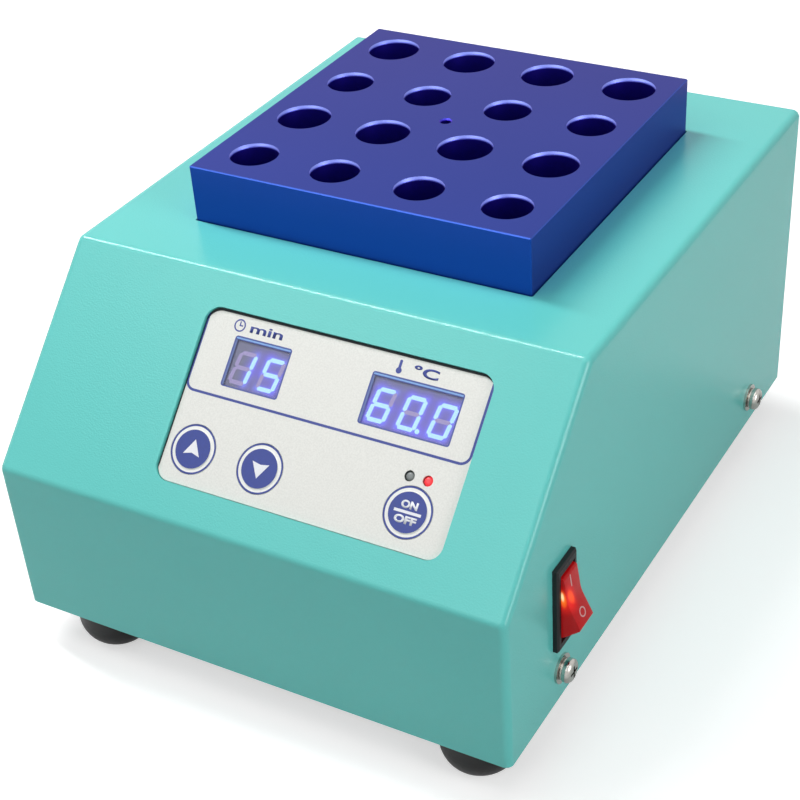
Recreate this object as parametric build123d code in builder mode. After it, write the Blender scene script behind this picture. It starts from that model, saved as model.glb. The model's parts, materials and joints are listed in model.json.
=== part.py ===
from build123d import *
from math import asin, atan2, cos, radians, sin, tan
import os

# Dry block heater. A drilled aluminium block lifts off a heated plate inside a folded steel case.
# The case has a sloping control panel, a lit rocker switch on the right and a mains inlet behind.
# X runs to the right, Y to the back and Z up, in millimetres. The origin is on the bench, under the
# middle of the whole object.

os.makedirs("parts", exist_ok=True)

# ---- Driving sizes ---------------------------------------------------------------------------

FIT = 0.3  # clearance beside pieces that are put together by hand

# Folded steel case
CASE_W = 180.0
CASE_D = 230.0
CASE_H = 110.0  # from the cover's lower edge to its top
FRONT_H = 55.0  # upright lower part of the front
SLOPE_RUN = 56.3  # how far back the sloping panel reaches
SHEET = 1.5
FOLD_R = 3.0
EDGE_R = 2.5
BOARD_T = 1.6  # every circuit board
BOARD_R = 1.0

# Base tray and rear panel
TRAY_LIP_H = 18.0
REAR_INSET = 2.0
REAR_FLANGE = 10.0
VENT_L = 30.0
VENT_W = 3.0
VENT_PITCH = 8.0
VENT_ROWS = 6

# Rubber feet
FOOT_R = 12.9
FOOT_H = 14.5  # below the cover's lower edge
FOOT_FLAT_R = 4.9
FOOT_CURVE_H = 10.0
FOOT_PITCH_X = 137.8
FOOT_OFFSET_X = 4.3
FOOT_FRONT_Y = 13.2
FOOT_REAR_IN = 33.0  # rear feet in front of the case's back
FOOT_DISC_R = 7.0
FOOT_DISC_T = 1.5
FOOT_DISC_DEPTH = 4.0

# Case screws and small fasteners
M4_R = 2.0
M3_R = 1.5
HOLE_PLAY = 0.25  # radial play of a screw in its clearance hole
SIDE_SCREW_FRONT_Y = 35.0
SIDE_SCREW_REAR_IN = 34.0  # rear side screws in front of the case's back
SIDE_SCREW_Z = 11.5
PAN_HEAD_R = 4.0
PAN_HEAD_H = 2.6
FLAT_WASHER_R = 5.0
FLAT_WASHER_T = 0.8
SPRING_WASHER_R = 3.6
SPRING_WASHER_T = 1.0
SPRING_WASHER_GAP = 0.8
RECESS_W = 0.9
RECESS_L = 4.4
RECESS_DEPTH = 1.4
NUT_M4_AF = 7.0
NUT_M4_H = 3.2
NUT_M3_AF = 5.5
NUT_M3_H = 2.4
SMALL_HEAD_R = 2.8
SMALL_HEAD_H = 1.8
REAR_SCREW_X = 76.0

# Heating block
BLOCK_H = 50.0
BLOCK_Y = 80.0  # its front face behind the case's front
BLOCK_REAR_IN = 30.0  # its back face in front of the case's back
BLOCK_UP = 19.0  # how far it stands above the case
BLOCK_CHAMFER = 0.35
BLOCK_GAP = 0.4  # to the edge of the cover's cut-out
BLOCK_SEAT = 0.2  # film of air between block and plate
WELL_COUNT = 4
WELL_SMALL_R = 8.0
WELL_LARGE_R = 9.0
WELL_DEPTH = 42.0
WELL_BOTTOM_R = 5.0
WELL_MOUTH_OUT = 0.4  # how much wider a well's steep lead-in is at the top, on its radius
WELL_MOUTH_DEPTH = 1.4
LIFT_HOLE_R = 1.65
LIFT_HOLE_DEPTH = 12.0
LIFT_HOLE_CHAMFER = 0.5

# Heater under the block
PLATE_T = 10.0
MAT_INSET = 4.0  # inside the block's outline
MAT_T = 1.5
BOARD_INSULATION_T = 15.0
SLEEVE_T = 12.0
SLEEVE_GAP = 0.9
SLEEVE_TOP_GAP = 0.5
HEATER_TRAY_WALL = 40.0
PLATE_SCREW_INSET = 15.0  # inside the block's outline
PLATE_SCREW_BITE = 6.0
PILLAR_INSET_X = 12.7  # inside the heater tray's sides
PILLAR_INSET_Y = 36.7  # inside its front and back
PILLAR_AF = 8.0
PILLAR_BITE = 8.0
PROBE_R = 2.0
PROBE_L = 22.0
PROBE_X = 22.0
CUTOUT_CAP_R = 8.2
CUTOUT_CAP_H = 6.0
CUTOUT_BODY_R = 7.0
CUTOUT_BODY_H = 6.5
BLADE_W = 6.3
BLADE_T = 0.8
BLADE_L = 9.0

# Control panel, measured along the slope from its lower fold and from the middle of the case
PANEL_X0 = -34.4
PANEL_X1 = 64.8
PANEL_V0 = 11.65
PANEL_V1 = 67.5
PANEL_R = 5.0
OVERLAY_T = 0.5
BRACKET_T = 2.0
BRACKET_MARGIN = 6.0
BRACKET_STUD_INSET = 3.0
WINDOW_H = 16.1
WINDOW_V = 52.35
TIME_WINDOW_W = 20.3
TIME_WINDOW_X = -12.1
TEMP_WINDOW_W = 30.5
TEMP_WINDOW_X = 41.25
WINDOW_R = 0.9
MODULE_T = 7.0
KEY_R = 7.75
KEY_PLAY = 0.15  # gap round each key in the overlay
KEY_RAISED_R = 6.05
KEY_RAISED_H = 0.25
KEY_STEM_R = 1.75
KEY_STEM_INTO = 1.0
KEY_V = 23.3
KEY_UP_X = -24.0
KEY_DOWN_X = 0.05
KEY_RUN_X = 50.55
LED_R = 1.5
LED_FLANGE_R = 1.9
LED_V = 33.55
LED_READY_X = 47.5
LED_HEAT_X = 53.5
LED_SINK = 0.2  # dome below the overlay's face
LED_DOME = 0.7  # rounding of the dome as a share of its radius
LED_FLANGE_T = 1.0
TACT_W = 6.0
TACT_H = 3.5
TACT_RECESS = 1.6
DISPLAY_BOARD_W = 96.0
DISPLAY_BOARD_H = 56.0
SPACER_R = 2.75
BUZZER_R = 6.0
BUZZER_H = 7.0

# Rocker switch on the right side
SWITCH_Y = 36.0
SWITCH_Z = 37.9
BEZEL_W = 13.0
BEZEL_L = 31.0
BEZEL_T = 2.0
BEZEL_CHAMFER = 0.6
SWITCH_DEPTH = 20.0
SWITCH_WALL = 1.0
ROCKER_W = 9.0
ROCKER_PIVOT_IN = 4.0  # pivot behind the case's side
ROCKER_TILT = 17.0  # either side of level
ROCKER_TIP_OUT = 9.94  # tip from the pivot, outward
ROCKER_TIP_ALONG = 9.2  # tip from the pivot, along the switch
ROCKER_DISH = 1.46  # depth of the face between the tips
ROCKER_SWING_R = 12.3
ROCKER_SHOULDER = 27.7  # where the swept end meets the tip's slope, in degrees about the pivot
ROCKER_UNDER = 2.0
ROCKER_WALL = 1.6
ROCKER_TIP_ROUND = 0.8
ROCKER_DISH_ROUND = 12.0
ROCKER_STUB_R = 1.4
STUB_PLAY = 0.05
LAMP_R = 1.5
LAMP_L = 6.0
LAMP_OUT = 2.2
LAMP_WIRE_R = 0.3

# Mains inlet with fuse drawer, in the rear panel
INLET_X = 45.0
INLET_UNDER = 0.8  # its body below the heater's tray
INLET_W = 50.0
INLET_H = 33.0
INLET_T = 3.0
INLET_BODY_W = 28.5
INLET_BODY_H = 30.0
INLET_BODY_D = 22.0
INLET_SCREW_PITCH = 40.0
SOCKET_W = 24.3
SOCKET_H = 16.6
SOCKET_D = 17.0
SOCKET_UP = 5.2
SOCKET_CORNER = 4.0
PIN_W = 2.0
PIN_H = 4.0
PIN_L = 12.0
PIN_PITCH = 14.0
PIN_RISE = 4.0
DRAWER_W = 24.0
DRAWER_H = 7.4
DRAWER_D = 20.0
DRAWER_DOWN = 9.4
DRAWER_GRIP = 1.6
FUSE_R = 2.6
FUSE_L = 20.0
FUSE_CAP_L = 5.0
FUSE_CAP_STEP = 0.2

# Power electronics on the base
POWER_W = 104.0
POWER_D = 52.0
POWER_X = -22.0
POWER_Y = 44.0
POWER_SPACER_H = 8.0
POWER_SPACER_AF = 5.5
POWER_SCREW_BITE = 3.0
POWER_HOLE_INSET = 4.0
TRANSFORMER_W = 36.0
TRANSFORMER_D = 30.0
TRANSFORMER_H = 27.0
COIL_OUT = 5.0
COIL_W = 24.0
COIL_H = 17.0
HEATSINK_W = 30.0
HEATSINK_D = 14.0
HEATSINK_H = 24.0
HEATSINK_BASE = 2.5
HEATSINK_FINS = 6
FIN_T = 1.2
TRIAC_W = 10.0
TRIAC_T = 4.5
TRIAC_H = 15.0
TRIAC_UP = 4.0
TERMINAL_POLES = 5
TERMINAL_PITCH = 5.08
TERMINAL_W = 9.0
TERMINAL_H = 10.0
TERMINAL_ENTRY = 4.0  # height of the wires' entries above the board
CAPACITOR_R = 6.5
CAPACITOR_H = 18.0
CAPACITOR_X = -8.0
CAPACITOR_Y = 47.0
HEADER_W = 16.0
HEADER_D = 5.0
HEADER_H = 8.0
HEADER_Y = 58.0
HEADER_X = 8.0
RIBBON_W = 12.0
RIBBON_T = 0.9
RIBBON_V = 45.0
RIBBON_BEND = 8.0
EARTH_REAR_IN = 46.0  # in front of the case's back
EARTH_H = 12.0

# Wires inside the case
LEAD_R = 1.1
LEAD_BEND = 6.0
LEAD_SPREAD = 4.0  # between wires that run side by side to the terminal block
LEAD_STRAIGHT = 20.0  # out of the inlet before a wire turns aside
LEAD_LEVEL = 26.0

# ---- Worked out from them -----------------------------------------------------------------------

slope_rise = CASE_H - FRONT_H
slope_angle = atan2(slope_rise, SLOPE_RUN)

tilt = radians(ROCKER_TILT)
rocker_reach = ROCKER_TIP_OUT * cos(tilt) + ROCKER_TIP_ALONG * sin(tilt) - ROCKER_PIVOT_IN
screw_reach = FLAT_WASHER_T + SPRING_WASHER_T + PAN_HEAD_H
rear_reach = INLET_T + DRAWER_GRIP - REAR_INSET

case_x = (screw_reach - rocker_reach) / 2
case_y = -(CASE_D + rear_reach) / 2
case_z = FOOT_H

inner_w = CASE_W - 2 * SHEET
tray_w = inner_w - 2 * FIT
tray_front = SHEET + FIT
tray_rear = CASE_D - REAR_INSET - SHEET
tray_floor = SHEET
foot_rear_y = CASE_D - FOOT_REAR_IN
side_screw_ys = (SIDE_SCREW_FRONT_Y, CASE_D - SIDE_SCREW_REAR_IN)

block_w = CASE_D - BLOCK_Y - BLOCK_REAR_IN
block_mid_y = BLOCK_Y + block_w / 2
well_pitch = block_w / WELL_COUNT
block_bottom = CASE_H + BLOCK_UP - BLOCK_H
plate_top = block_bottom - BLOCK_SEAT
plate_bottom = plate_top - PLATE_T
mat_bottom = plate_bottom - MAT_T
insulation_bottom = mat_bottom - BOARD_INSULATION_T
heater_tray_bottom = insulation_bottom - SHEET
block_space = block_w + 2 * BLOCK_GAP
sleeve_inner = block_w + 2 * SLEEVE_GAP
sleeve_outer = sleeve_inner + 2 * SLEEVE_T
heater_tray_w = sleeve_outer + 2 * FIT + 2 * SHEET
probe_z = plate_bottom + PLATE_T / 2

panel_w = PANEL_X1 - PANEL_X0
panel_h = PANEL_V1 - PANEL_V0
panel_x = (PANEL_X0 + PANEL_X1) / 2
panel_v = (PANEL_V0 + PANEL_V1) / 2
bracket_w = panel_w + 2 * BRACKET_MARGIN
bracket_h = panel_h + 2 * BRACKET_MARGIN
overlay_face = SHEET - OVERLAY_T  # depths below the slope's outer skin
bracket_back = SHEET + BRACKET_T
display_board_face = SHEET + MODULE_T
display_board_back = display_board_face + BOARD_T
tact_face = display_board_face - TACT_H
window_places = ((TIME_WINDOW_X, TIME_WINDOW_W), (TEMP_WINDOW_X, TEMP_WINDOW_W))
key_places = (("key_up", KEY_UP_X), ("key_down", KEY_DOWN_X), ("key_run_stop", KEY_RUN_X))
led_places = (("led_ready", LED_READY_X), ("led_heat", LED_HEAT_X))

case_side = CASE_W / 2
switch_body_w = ROCKER_W + 2 * FIT + 2 * SWITCH_WALL
swing_space_r = ROCKER_SWING_R + 2 * FIT
switch_body_l = 2 * (swing_space_r + SWITCH_WALL)
rear_face = CASE_D - REAR_INSET
inlet_front = rear_face + INLET_T
inlet_z = heater_tray_bottom - INLET_UNDER - INLET_BODY_H / 2
socket_z = inlet_z + SOCKET_UP
drawer_z = inlet_z - DRAWER_DOWN
power_floor = tray_floor + POWER_SPACER_H
power_top = power_floor + BOARD_T
earth_y = CASE_D - EARTH_REAR_IN

# ---- Planes: all sketches are drawn in the case's own measures ---------------------------------


def level(height):
    """Horizontal plane at a height above the cover's lower edge, drawn from the front's middle."""
    return Plane((case_x, case_y, case_z + height))


def across(x):
    """Upright plane facing right; its sketch runs to the back and up."""
    return Plane((case_x + x, case_y, case_z), x_dir=(0, 1, 0), z_dir=(1, 0, 0))


def facing_rear(y):
    """Upright plane facing the back; its sketch runs to the left and up."""
    return Plane((case_x, case_y + y, case_z), x_dir=(-1, 0, 0), z_dir=(0, 1, 0))


def slope(depth):
    """Plane of the sloping panel, at a depth below its skin; its sketch runs right and upslope."""
    outward = (0, -sin(slope_angle), cos(slope_angle))
    skin = Plane((case_x, case_y, case_z + FRONT_H), x_dir=(1, 0, 0), z_dir=outward)
    return skin.offset(-depth)


def beside(side, out):
    """Plane on the left (-1) or right (+1) flank, facing outward, its sketch running up."""
    start = (case_x + side * (case_side + out), case_y, case_z)
    return Plane(start, x_dir=(0, side, 0), z_dir=(side, 0, 0))


slope_outward = Axis((0, 0, 0), slope(0).z_dir)


def save(name, piece):
    """Label a finished piece and write its STEP file."""
    piece.label = name
    export_step(piece, f"parts/{name}.step")


# ---- Cover: one folded and welded sheet, open below and behind ---------------------------------


def case_outline(inset, past):
    """Side view of the case pulled in by inset, running past its open sides."""
    low_fold = inset * tan((radians(90) - slope_angle) / 2)
    high_fold = inset * tan(slope_angle / 2)
    return [
        (inset, -past),
        (inset, FRONT_H - low_fold),
        (SLOPE_RUN + high_fold, CASE_H - inset),
        (CASE_D + past, CASE_H - inset),
        (CASE_D + past, -past),
    ]


def case_form(inset, past):
    """Solid form of the case, rounded at its folds and along its flanks."""
    outline = case_outline(inset, past)
    with BuildPart() as form:
        with BuildSketch(across(0)):
            with BuildLine():
                FilletPolyline(*outline[:4], radius=FOLD_R - inset)
                Polyline(outline[3], outline[4], outline[0])
            make_face()
        extrude(amount=case_side - inset, both=True)
        flanks = form.faces().sort_by(Axis.X)
        rims = flanks[0].edges() + flanks[-1].edges()
        seen = rims.sort_by(Axis.Z)[2:].sort_by(Axis.Y)[:-2]
        fillet(seen, EDGE_R - inset)
    return form.part


with BuildPart() as cover:
    add(case_form(0, 0))
    add(case_form(SHEET, SHEET), mode=Mode.SUBTRACT)
    with BuildSketch(level(CASE_H)):
        with Locations((0, block_mid_y)):
            RectangleRounded(block_space, block_space, BLOCK_GAP + BLOCK_CHAMFER)
    extrude(amount=-2 * SHEET, mode=Mode.SUBTRACT)
    with BuildSketch(slope(0)):
        with Locations((panel_x, panel_v)):
            RectangleRounded(panel_w, panel_h, PANEL_R)
    extrude(amount=-2 * SHEET, mode=Mode.SUBTRACT)
    with BuildSketch(across(case_side)):
        with Locations((SWITCH_Y, SWITCH_Z)):
            Rectangle(switch_body_w + FIT, switch_body_l + FIT)
    extrude(amount=-2 * SHEET, mode=Mode.SUBTRACT)
    with BuildSketch(across(0)):
        with Locations(*[(y, SIDE_SCREW_Z) for y in side_screw_ys]):
            Circle(M4_R + HOLE_PLAY)
    extrude(amount=CASE_W, both=True, mode=Mode.SUBTRACT)
save("cover", cover.part)

# ---- Base tray: a shallow pan that closes the case below ----------------------------------------


def four_spots(middle, half_x, half_y):
    """Corners of a rectangle about a middle."""
    return [(middle[0] + i * half_x, middle[1] + j * half_y) for i in (-1, 1) for j in (-1, 1)]


foot_middle = (FOOT_OFFSET_X, (FOOT_FRONT_Y + foot_rear_y) / 2)
foot_spots = four_spots(foot_middle, FOOT_PITCH_X / 2, (foot_rear_y - FOOT_FRONT_Y) / 2)
block_middle = (0, block_mid_y)
pillar_x = heater_tray_w / 2 - PILLAR_INSET_X
pillar_y = heater_tray_w / 2 - PILLAR_INSET_Y
pillar_spots = four_spots(block_middle, pillar_x, pillar_y)
power_hole_x = POWER_W / 2 - POWER_HOLE_INSET
power_hole_y = POWER_D / 2 - POWER_HOLE_INSET
power_spots = four_spots((POWER_X, POWER_Y), power_hole_x, power_hole_y)
tray_d = tray_rear - tray_front
tray_mid_y = (tray_front + tray_rear) / 2

with BuildPart() as base_tray:
    with BuildSketch(level(0)):
        with Locations((0, tray_mid_y)):
            Rectangle(tray_w, tray_d)
    extrude(amount=TRAY_LIP_H)
    with BuildSketch(level(tray_floor)):
        with Locations((0, tray_mid_y)):
            Rectangle(tray_w - 2 * SHEET, tray_d - 2 * SHEET)
    extrude(amount=TRAY_LIP_H, mode=Mode.SUBTRACT)
    with BuildSketch(level(0)):
        with Locations(*foot_spots, *pillar_spots):
            Circle(M4_R + HOLE_PLAY)
        with Locations((0, block_mid_y)):
            with GridLocations(VENT_L + VENT_PITCH, VENT_PITCH, 2, VENT_ROWS):
                SlotOverall(VENT_L, VENT_W)
    extrude(amount=2 * SHEET, mode=Mode.SUBTRACT)
    with BuildSketch(across(0)):
        with Locations(*[(y, SIDE_SCREW_Z) for y in side_screw_ys]):
            Circle(M4_R + HOLE_PLAY)
    extrude(amount=CASE_W, both=True, mode=Mode.SUBTRACT)
    with BuildSketch(facing_rear(tray_rear)):
        with Locations((-REAR_SCREW_X, SIDE_SCREW_Z), (REAR_SCREW_X, SIDE_SCREW_Z)):
            Circle(M4_R + HOLE_PLAY)
    extrude(amount=-2 * SHEET, mode=Mode.SUBTRACT)
save("base_tray", base_tray.part)

# ---- Rear panel: a plate with vents and the inlet's cut-out -------------------------------------

rear_top = CASE_H - SHEET - FIT
flange_bottom = TRAY_LIP_H + 2 * FIT
flange_h = rear_top - EDGE_R - flange_bottom
vent_z = (inlet_z + INLET_H / 2 + rear_top) / 2

with BuildPart() as rear_panel:
    with BuildSketch(facing_rear(rear_face)):
        with Locations((0, rear_top / 2)):
            RectangleRounded(tray_w, rear_top, EDGE_R - SHEET + FIT)
    extrude(amount=-SHEET)
    with BuildSketch(facing_rear(rear_face - SHEET)):
        for side in (-1, 1):
            with Locations((side * (tray_w - SHEET) / 2, flange_bottom + flange_h / 2)):
                Rectangle(SHEET, flange_h)
    extrude(amount=-REAR_FLANGE)
    with BuildSketch(facing_rear(rear_face)):
        with Locations((-INLET_X, inlet_z)):
            Rectangle(INLET_BODY_W + FIT, INLET_BODY_H + FIT)
            with GridLocations(INLET_SCREW_PITCH, 1, 2, 1):
                Circle(M3_R + HOLE_PLAY)
        with Locations((-REAR_SCREW_X, SIDE_SCREW_Z), (REAR_SCREW_X, SIDE_SCREW_Z)):
            Circle(M4_R + HOLE_PLAY)
        with Locations((0, vent_z)):
            with GridLocations(VENT_L + VENT_PITCH, VENT_PITCH, 2, VENT_ROWS // 2):
                SlotOverall(VENT_L, VENT_W)
    extrude(amount=-SHEET, mode=Mode.SUBTRACT)
save("rear_panel", rear_panel.part)

# ---- Rubber feet with moulded-in studs ----------------------------------------------------------

foot_planes = [level(0).location * Location((x, y, 0)) for x, y in foot_spots]
stud_top = tray_floor + NUT_M4_H + FIT
disc_bottom = -FOOT_DISC_DEPTH - FOOT_DISC_T


def stud_profile(play):
    """Half section of a foot's stud and the disc that is moulded into the rubber."""
    shank = M4_R + play
    disc = FOOT_DISC_R + play
    Polyline(
        (0, disc_bottom - play),
        (disc, disc_bottom - play),
        (disc, -FOOT_DISC_DEPTH + play),
        (shank, -FOOT_DISC_DEPTH + play),
        (shank, stud_top),
        (0, stud_top),
        close=True,
    )


with BuildPart() as foot_stud:
    with BuildSketch(Plane.XZ):
        with BuildLine():
            stud_profile(0)
        make_face()
    revolve(axis=Axis.Z)

with BuildPart() as foot:
    with BuildSketch(Plane.XZ):
        with BuildLine():
            Line((0, 0), (FOOT_R, 0))
            Line((FOOT_R, 0), (FOOT_R, FOOT_CURVE_H - FOOT_H))
            EllipticalCenterArc(
                (FOOT_FLAT_R, FOOT_CURVE_H - FOOT_H),
                FOOT_R - FOOT_FLAT_R,
                FOOT_CURVE_H,
                start_angle=-90,
                arc_size=90,
            )
            Line((FOOT_FLAT_R, -FOOT_H), (0, -FOOT_H))
            Line((0, -FOOT_H), (0, 0))
        make_face()
    revolve(axis=Axis.Z)
    add(foot_stud.part, mode=Mode.SUBTRACT)

with BuildPart() as feet:
    with Locations(*foot_planes):
        add(foot.part)
save("feet", feet.part)

with BuildPart() as foot_studs:
    with Locations(*foot_planes):
        add(foot_stud.part)
save("foot_studs", foot_studs.part)

with BuildPart() as foot_nuts:
    with BuildSketch(level(tray_floor)):
        with Locations(*foot_spots):
            RegularPolygon(NUT_M4_AF / 2, 6, major_radius=False)
            Circle(M4_R, mode=Mode.SUBTRACT)
    extrude(amount=NUT_M4_H)
save("foot_nuts", foot_nuts.part)

# ---- Case screws with their washers and weld nuts -----------------------------------------------


def pan_screw(shank_r, shank_l, head_r, head_h):
    """Pan head screw with a cross recess, head upward, underside of the head at the origin."""
    with BuildPart() as screw:
        with BuildSketch(Plane.XY):
            Circle(shank_r)
        extrude(amount=-shank_l)
        with BuildSketch(Plane.XY):
            Circle(head_r)
        extrude(amount=head_h)
        fillet(screw.edges().group_by(Axis.Z)[-1], 0.6 * head_h)
        with BuildSketch(Plane.XY.offset(head_h)):
            Rectangle(RECESS_L * head_r / PAN_HEAD_R, RECESS_W)
            Rectangle(RECESS_W, RECESS_L * head_r / PAN_HEAD_R)
        extrude(amount=-RECESS_DEPTH * head_h / PAN_HEAD_H, mode=Mode.SUBTRACT)
    return screw.part


def side_spots(out):
    """Places of the four side screws on the flanks, facing outward."""
    return [
        beside(side, out).location * Location((side * y, SIDE_SCREW_Z, 0))
        for side in (-1, 1)
        for y in side_screw_ys
    ]


washer_stack = FLAT_WASHER_T + SPRING_WASHER_T
weld_nut_in = 2 * SHEET + FIT
side_shank = washer_stack + weld_nut_in + NUT_M4_H + FIT
side_screw = pan_screw(M4_R, side_shank, PAN_HEAD_R, PAN_HEAD_H)

with BuildPart() as side_screws:
    with Locations(*side_spots(washer_stack)):
        add(side_screw)
save("side_screws", side_screws.part)

with BuildPart() as side_spring_washers:
    for spot in side_spots(FLAT_WASHER_T):
        with BuildSketch(Plane(spot)):
            Circle(SPRING_WASHER_R)
            Circle(M4_R + HOLE_PLAY, mode=Mode.SUBTRACT)
            with Locations((0, SPRING_WASHER_R)):
                Rectangle(SPRING_WASHER_GAP, 2 * (SPRING_WASHER_R - M4_R), mode=Mode.SUBTRACT)
        extrude(amount=SPRING_WASHER_T)
save("side_spring_washers", side_spring_washers.part)

with BuildPart() as side_flat_washers:
    for spot in side_spots(0):
        with BuildSketch(Plane(spot)):
            Circle(FLAT_WASHER_R)
            Circle(M4_R + HOLE_PLAY, mode=Mode.SUBTRACT)
        extrude(amount=FLAT_WASHER_T)
save("side_flat_washers", side_flat_washers.part)

rear_shank = 2 * SHEET + NUT_M4_H + FIT
rear_screw = pan_screw(M4_R, rear_shank, PAN_HEAD_R, PAN_HEAD_H)


def rear_spots(y):
    """Places of the two rear screws on an upright plane at y, facing the back."""
    wall = facing_rear(y).location
    return [wall * Location((side * REAR_SCREW_X, SIDE_SCREW_Z, 0)) for side in (-1, 1)]


with BuildPart() as rear_screws:
    with Locations(*rear_spots(rear_face)):
        add(rear_screw)
save("rear_screws", rear_screws.part)

with BuildPart() as weld_nuts:
    for spot in side_spots(-weld_nut_in) + rear_spots(tray_rear - SHEET):
        with BuildSketch(Plane(spot)):
            RegularPolygon(NUT_M4_AF / 2, 6, major_radius=False)
            Circle(M4_R, mode=Mode.SUBTRACT)
        extrude(amount=-NUT_M4_H)
save("weld_nuts", weld_nuts.part)

# ---- Heating block: sixteen wells and a tapped hole for its lifting tool ------------------------

well_step = range(WELL_COUNT)
well_reach = (WELL_COUNT - 1) * well_pitch / 2
wells = [
    (
        column * well_pitch - well_reach,
        block_mid_y + row * well_pitch - well_reach,
        WELL_LARGE_R if row % 2 else WELL_SMALL_R,
    )
    for row in well_step
    for column in well_step
]

with BuildPart() as heating_block:
    with BuildSketch(level(block_bottom)):
        with Locations((0, block_mid_y)):
            Rectangle(block_w, block_w)
    extrude(amount=BLOCK_H)
    chamfer(heating_block.edges(), BLOCK_CHAMFER)
    with BuildSketch(level(block_bottom + BLOCK_H)):
        for x, y, radius in wells:
            with Locations((x, y)):
                Circle(radius)
    extrude(amount=-WELL_DEPTH, mode=Mode.SUBTRACT)
    floors = heating_block.edges().filter_by(GeomType.CIRCLE).group_by(Axis.Z)[0]
    fillet(floors, WELL_BOTTOM_R)
    for x, y, radius in wells:
        with Locations((x, y, block_bottom + BLOCK_H - WELL_MOUTH_DEPTH / 2)):
            Cone(radius, radius + WELL_MOUTH_OUT, WELL_MOUTH_DEPTH, mode=Mode.SUBTRACT)
    with BuildSketch(level(block_bottom + BLOCK_H)):
        with Locations((0, block_mid_y)):
            Circle(LIFT_HOLE_R)
    extrude(amount=-LIFT_HOLE_DEPTH, mode=Mode.SUBTRACT)
    top_rims = heating_block.faces().sort_by(Axis.Z)[-1].edges().filter_by(GeomType.CIRCLE)
    chamfer(top_rims.sort_by(SortBy.RADIUS)[0], LIFT_HOLE_CHAMFER)
save("heating_block", heating_block.part)

# ---- Heater under the block ---------------------------------------------------------------------

plate_screw_reach = block_w / 2 - PLATE_SCREW_INSET
plate_screw_spots = four_spots(block_middle, plate_screw_reach, plate_screw_reach)
clearance_r = M4_R + HOLE_PLAY
cutout_space_r = CUTOUT_CAP_R + 2 * FIT


def square_slab(bottom, width, thickness, corner, holes, hole_r):
    """Square slab centred under the block, with the heater's middle hole and screw holes."""
    with BuildPart() as slab:
        with BuildSketch(level(bottom)):
            with Locations((0, block_mid_y)):
                RectangleRounded(width, width, corner)
                Circle(cutout_space_r, mode=Mode.SUBTRACT)
            with Locations(*holes):
                Circle(hole_r, mode=Mode.SUBTRACT)
        extrude(amount=thickness)
    return slab.part


with BuildPart() as heat_plate:
    with BuildSketch(level(plate_bottom)):
        with Locations((0, block_mid_y)):
            RectangleRounded(block_w, block_w, BLOCK_CHAMFER)
    extrude(amount=PLATE_T)
    with BuildSketch(level(plate_bottom)):
        with Locations(*plate_screw_spots):
            Circle(M4_R)
    extrude(amount=PLATE_SCREW_BITE + FIT, mode=Mode.SUBTRACT)
    with BuildSketch(facing_rear(BLOCK_Y)):
        with Locations((-PROBE_X, probe_z)):
            Circle(PROBE_R)
    extrude(amount=PROBE_L, mode=Mode.SUBTRACT)
save("heat_plate", heat_plate.part)

mat_w = block_w - 2 * MAT_INSET
heater_mat = square_slab(mat_bottom, mat_w, MAT_T, EDGE_R, plate_screw_spots, clearance_r)
save("heater_mat", heater_mat)

insulation_board = square_slab(
    insulation_bottom, sleeve_outer, BOARD_INSULATION_T, BLOCK_CHAMFER, plate_screw_spots, clearance_r
)
save("insulation_board", insulation_board)

sleeve_top = CASE_H - SHEET - SLEEVE_TOP_GAP
probe_channel_r = PROBE_R + FIT

with BuildPart() as insulation_sleeve:
    with BuildSketch(level(mat_bottom)):
        with Locations((0, block_mid_y)):
            RectangleRounded(sleeve_outer, sleeve_outer, BLOCK_CHAMFER)
            Rectangle(sleeve_inner, sleeve_inner, mode=Mode.SUBTRACT)
    extrude(amount=sleeve_top - mat_bottom)
    with BuildSketch(facing_rear(BLOCK_Y)):
        with Locations((-PROBE_X, probe_z)):
            Circle(probe_channel_r)
    extrude(amount=-2 * SLEEVE_T, mode=Mode.SUBTRACT)
save("insulation_sleeve", insulation_sleeve.part)

with BuildPart() as heater_tray:
    with BuildSketch(level(heater_tray_bottom)):
        with Locations((0, block_mid_y)):
            RectangleRounded(heater_tray_w, heater_tray_w, EDGE_R)
    extrude(amount=HEATER_TRAY_WALL)
    with BuildSketch(level(insulation_bottom)):
        with Locations((0, block_mid_y)):
            RectangleRounded(heater_tray_w - 2 * SHEET, heater_tray_w - 2 * SHEET, EDGE_R - SHEET)
    extrude(amount=HEATER_TRAY_WALL, mode=Mode.SUBTRACT)
    with BuildSketch(level(heater_tray_bottom)):
        with Locations((0, block_mid_y)):
            Circle(cutout_space_r)
        with Locations(*plate_screw_spots):
            Circle(clearance_r)
    extrude(amount=SHEET, mode=Mode.SUBTRACT)
    with BuildSketch(facing_rear(BLOCK_Y)):
        with Locations((-PROBE_X, probe_z)):
            Circle(probe_channel_r)
    extrude(amount=-2 * SLEEVE_T, mode=Mode.SUBTRACT)
save("heater_tray", heater_tray.part)

pillar_h = heater_tray_bottom - tray_floor

with BuildPart() as heater_pillars:
    with BuildSketch(level(tray_floor)):
        with Locations(*pillar_spots):
            RegularPolygon(PILLAR_AF / 2, 6, major_radius=False)
    extrude(amount=pillar_h)
    with BuildSketch(level(tray_floor)):
        with Locations(*pillar_spots):
            Circle(M4_R)
    extrude(amount=PILLAR_BITE + FIT, mode=Mode.SUBTRACT)
save("heater_pillars", heater_pillars.part)


def screws_upward(spots, height, shank_r, shank_l):
    """Pan head screws driven upward, with their heads under a sheet at a height."""
    small_screw = pan_screw(shank_r, shank_l, SMALL_HEAD_R * shank_r / M3_R, SMALL_HEAD_H)
    sheet = level(height).location
    with BuildPart() as screws:
        with Locations(*[sheet * Location((x, y, 0), (180, 0, 0)) for x, y in spots]):
            add(small_screw)
    return screws.part


save("pillar_screws", screws_upward(pillar_spots, 0, M4_R, SHEET + PILLAR_BITE))

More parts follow.
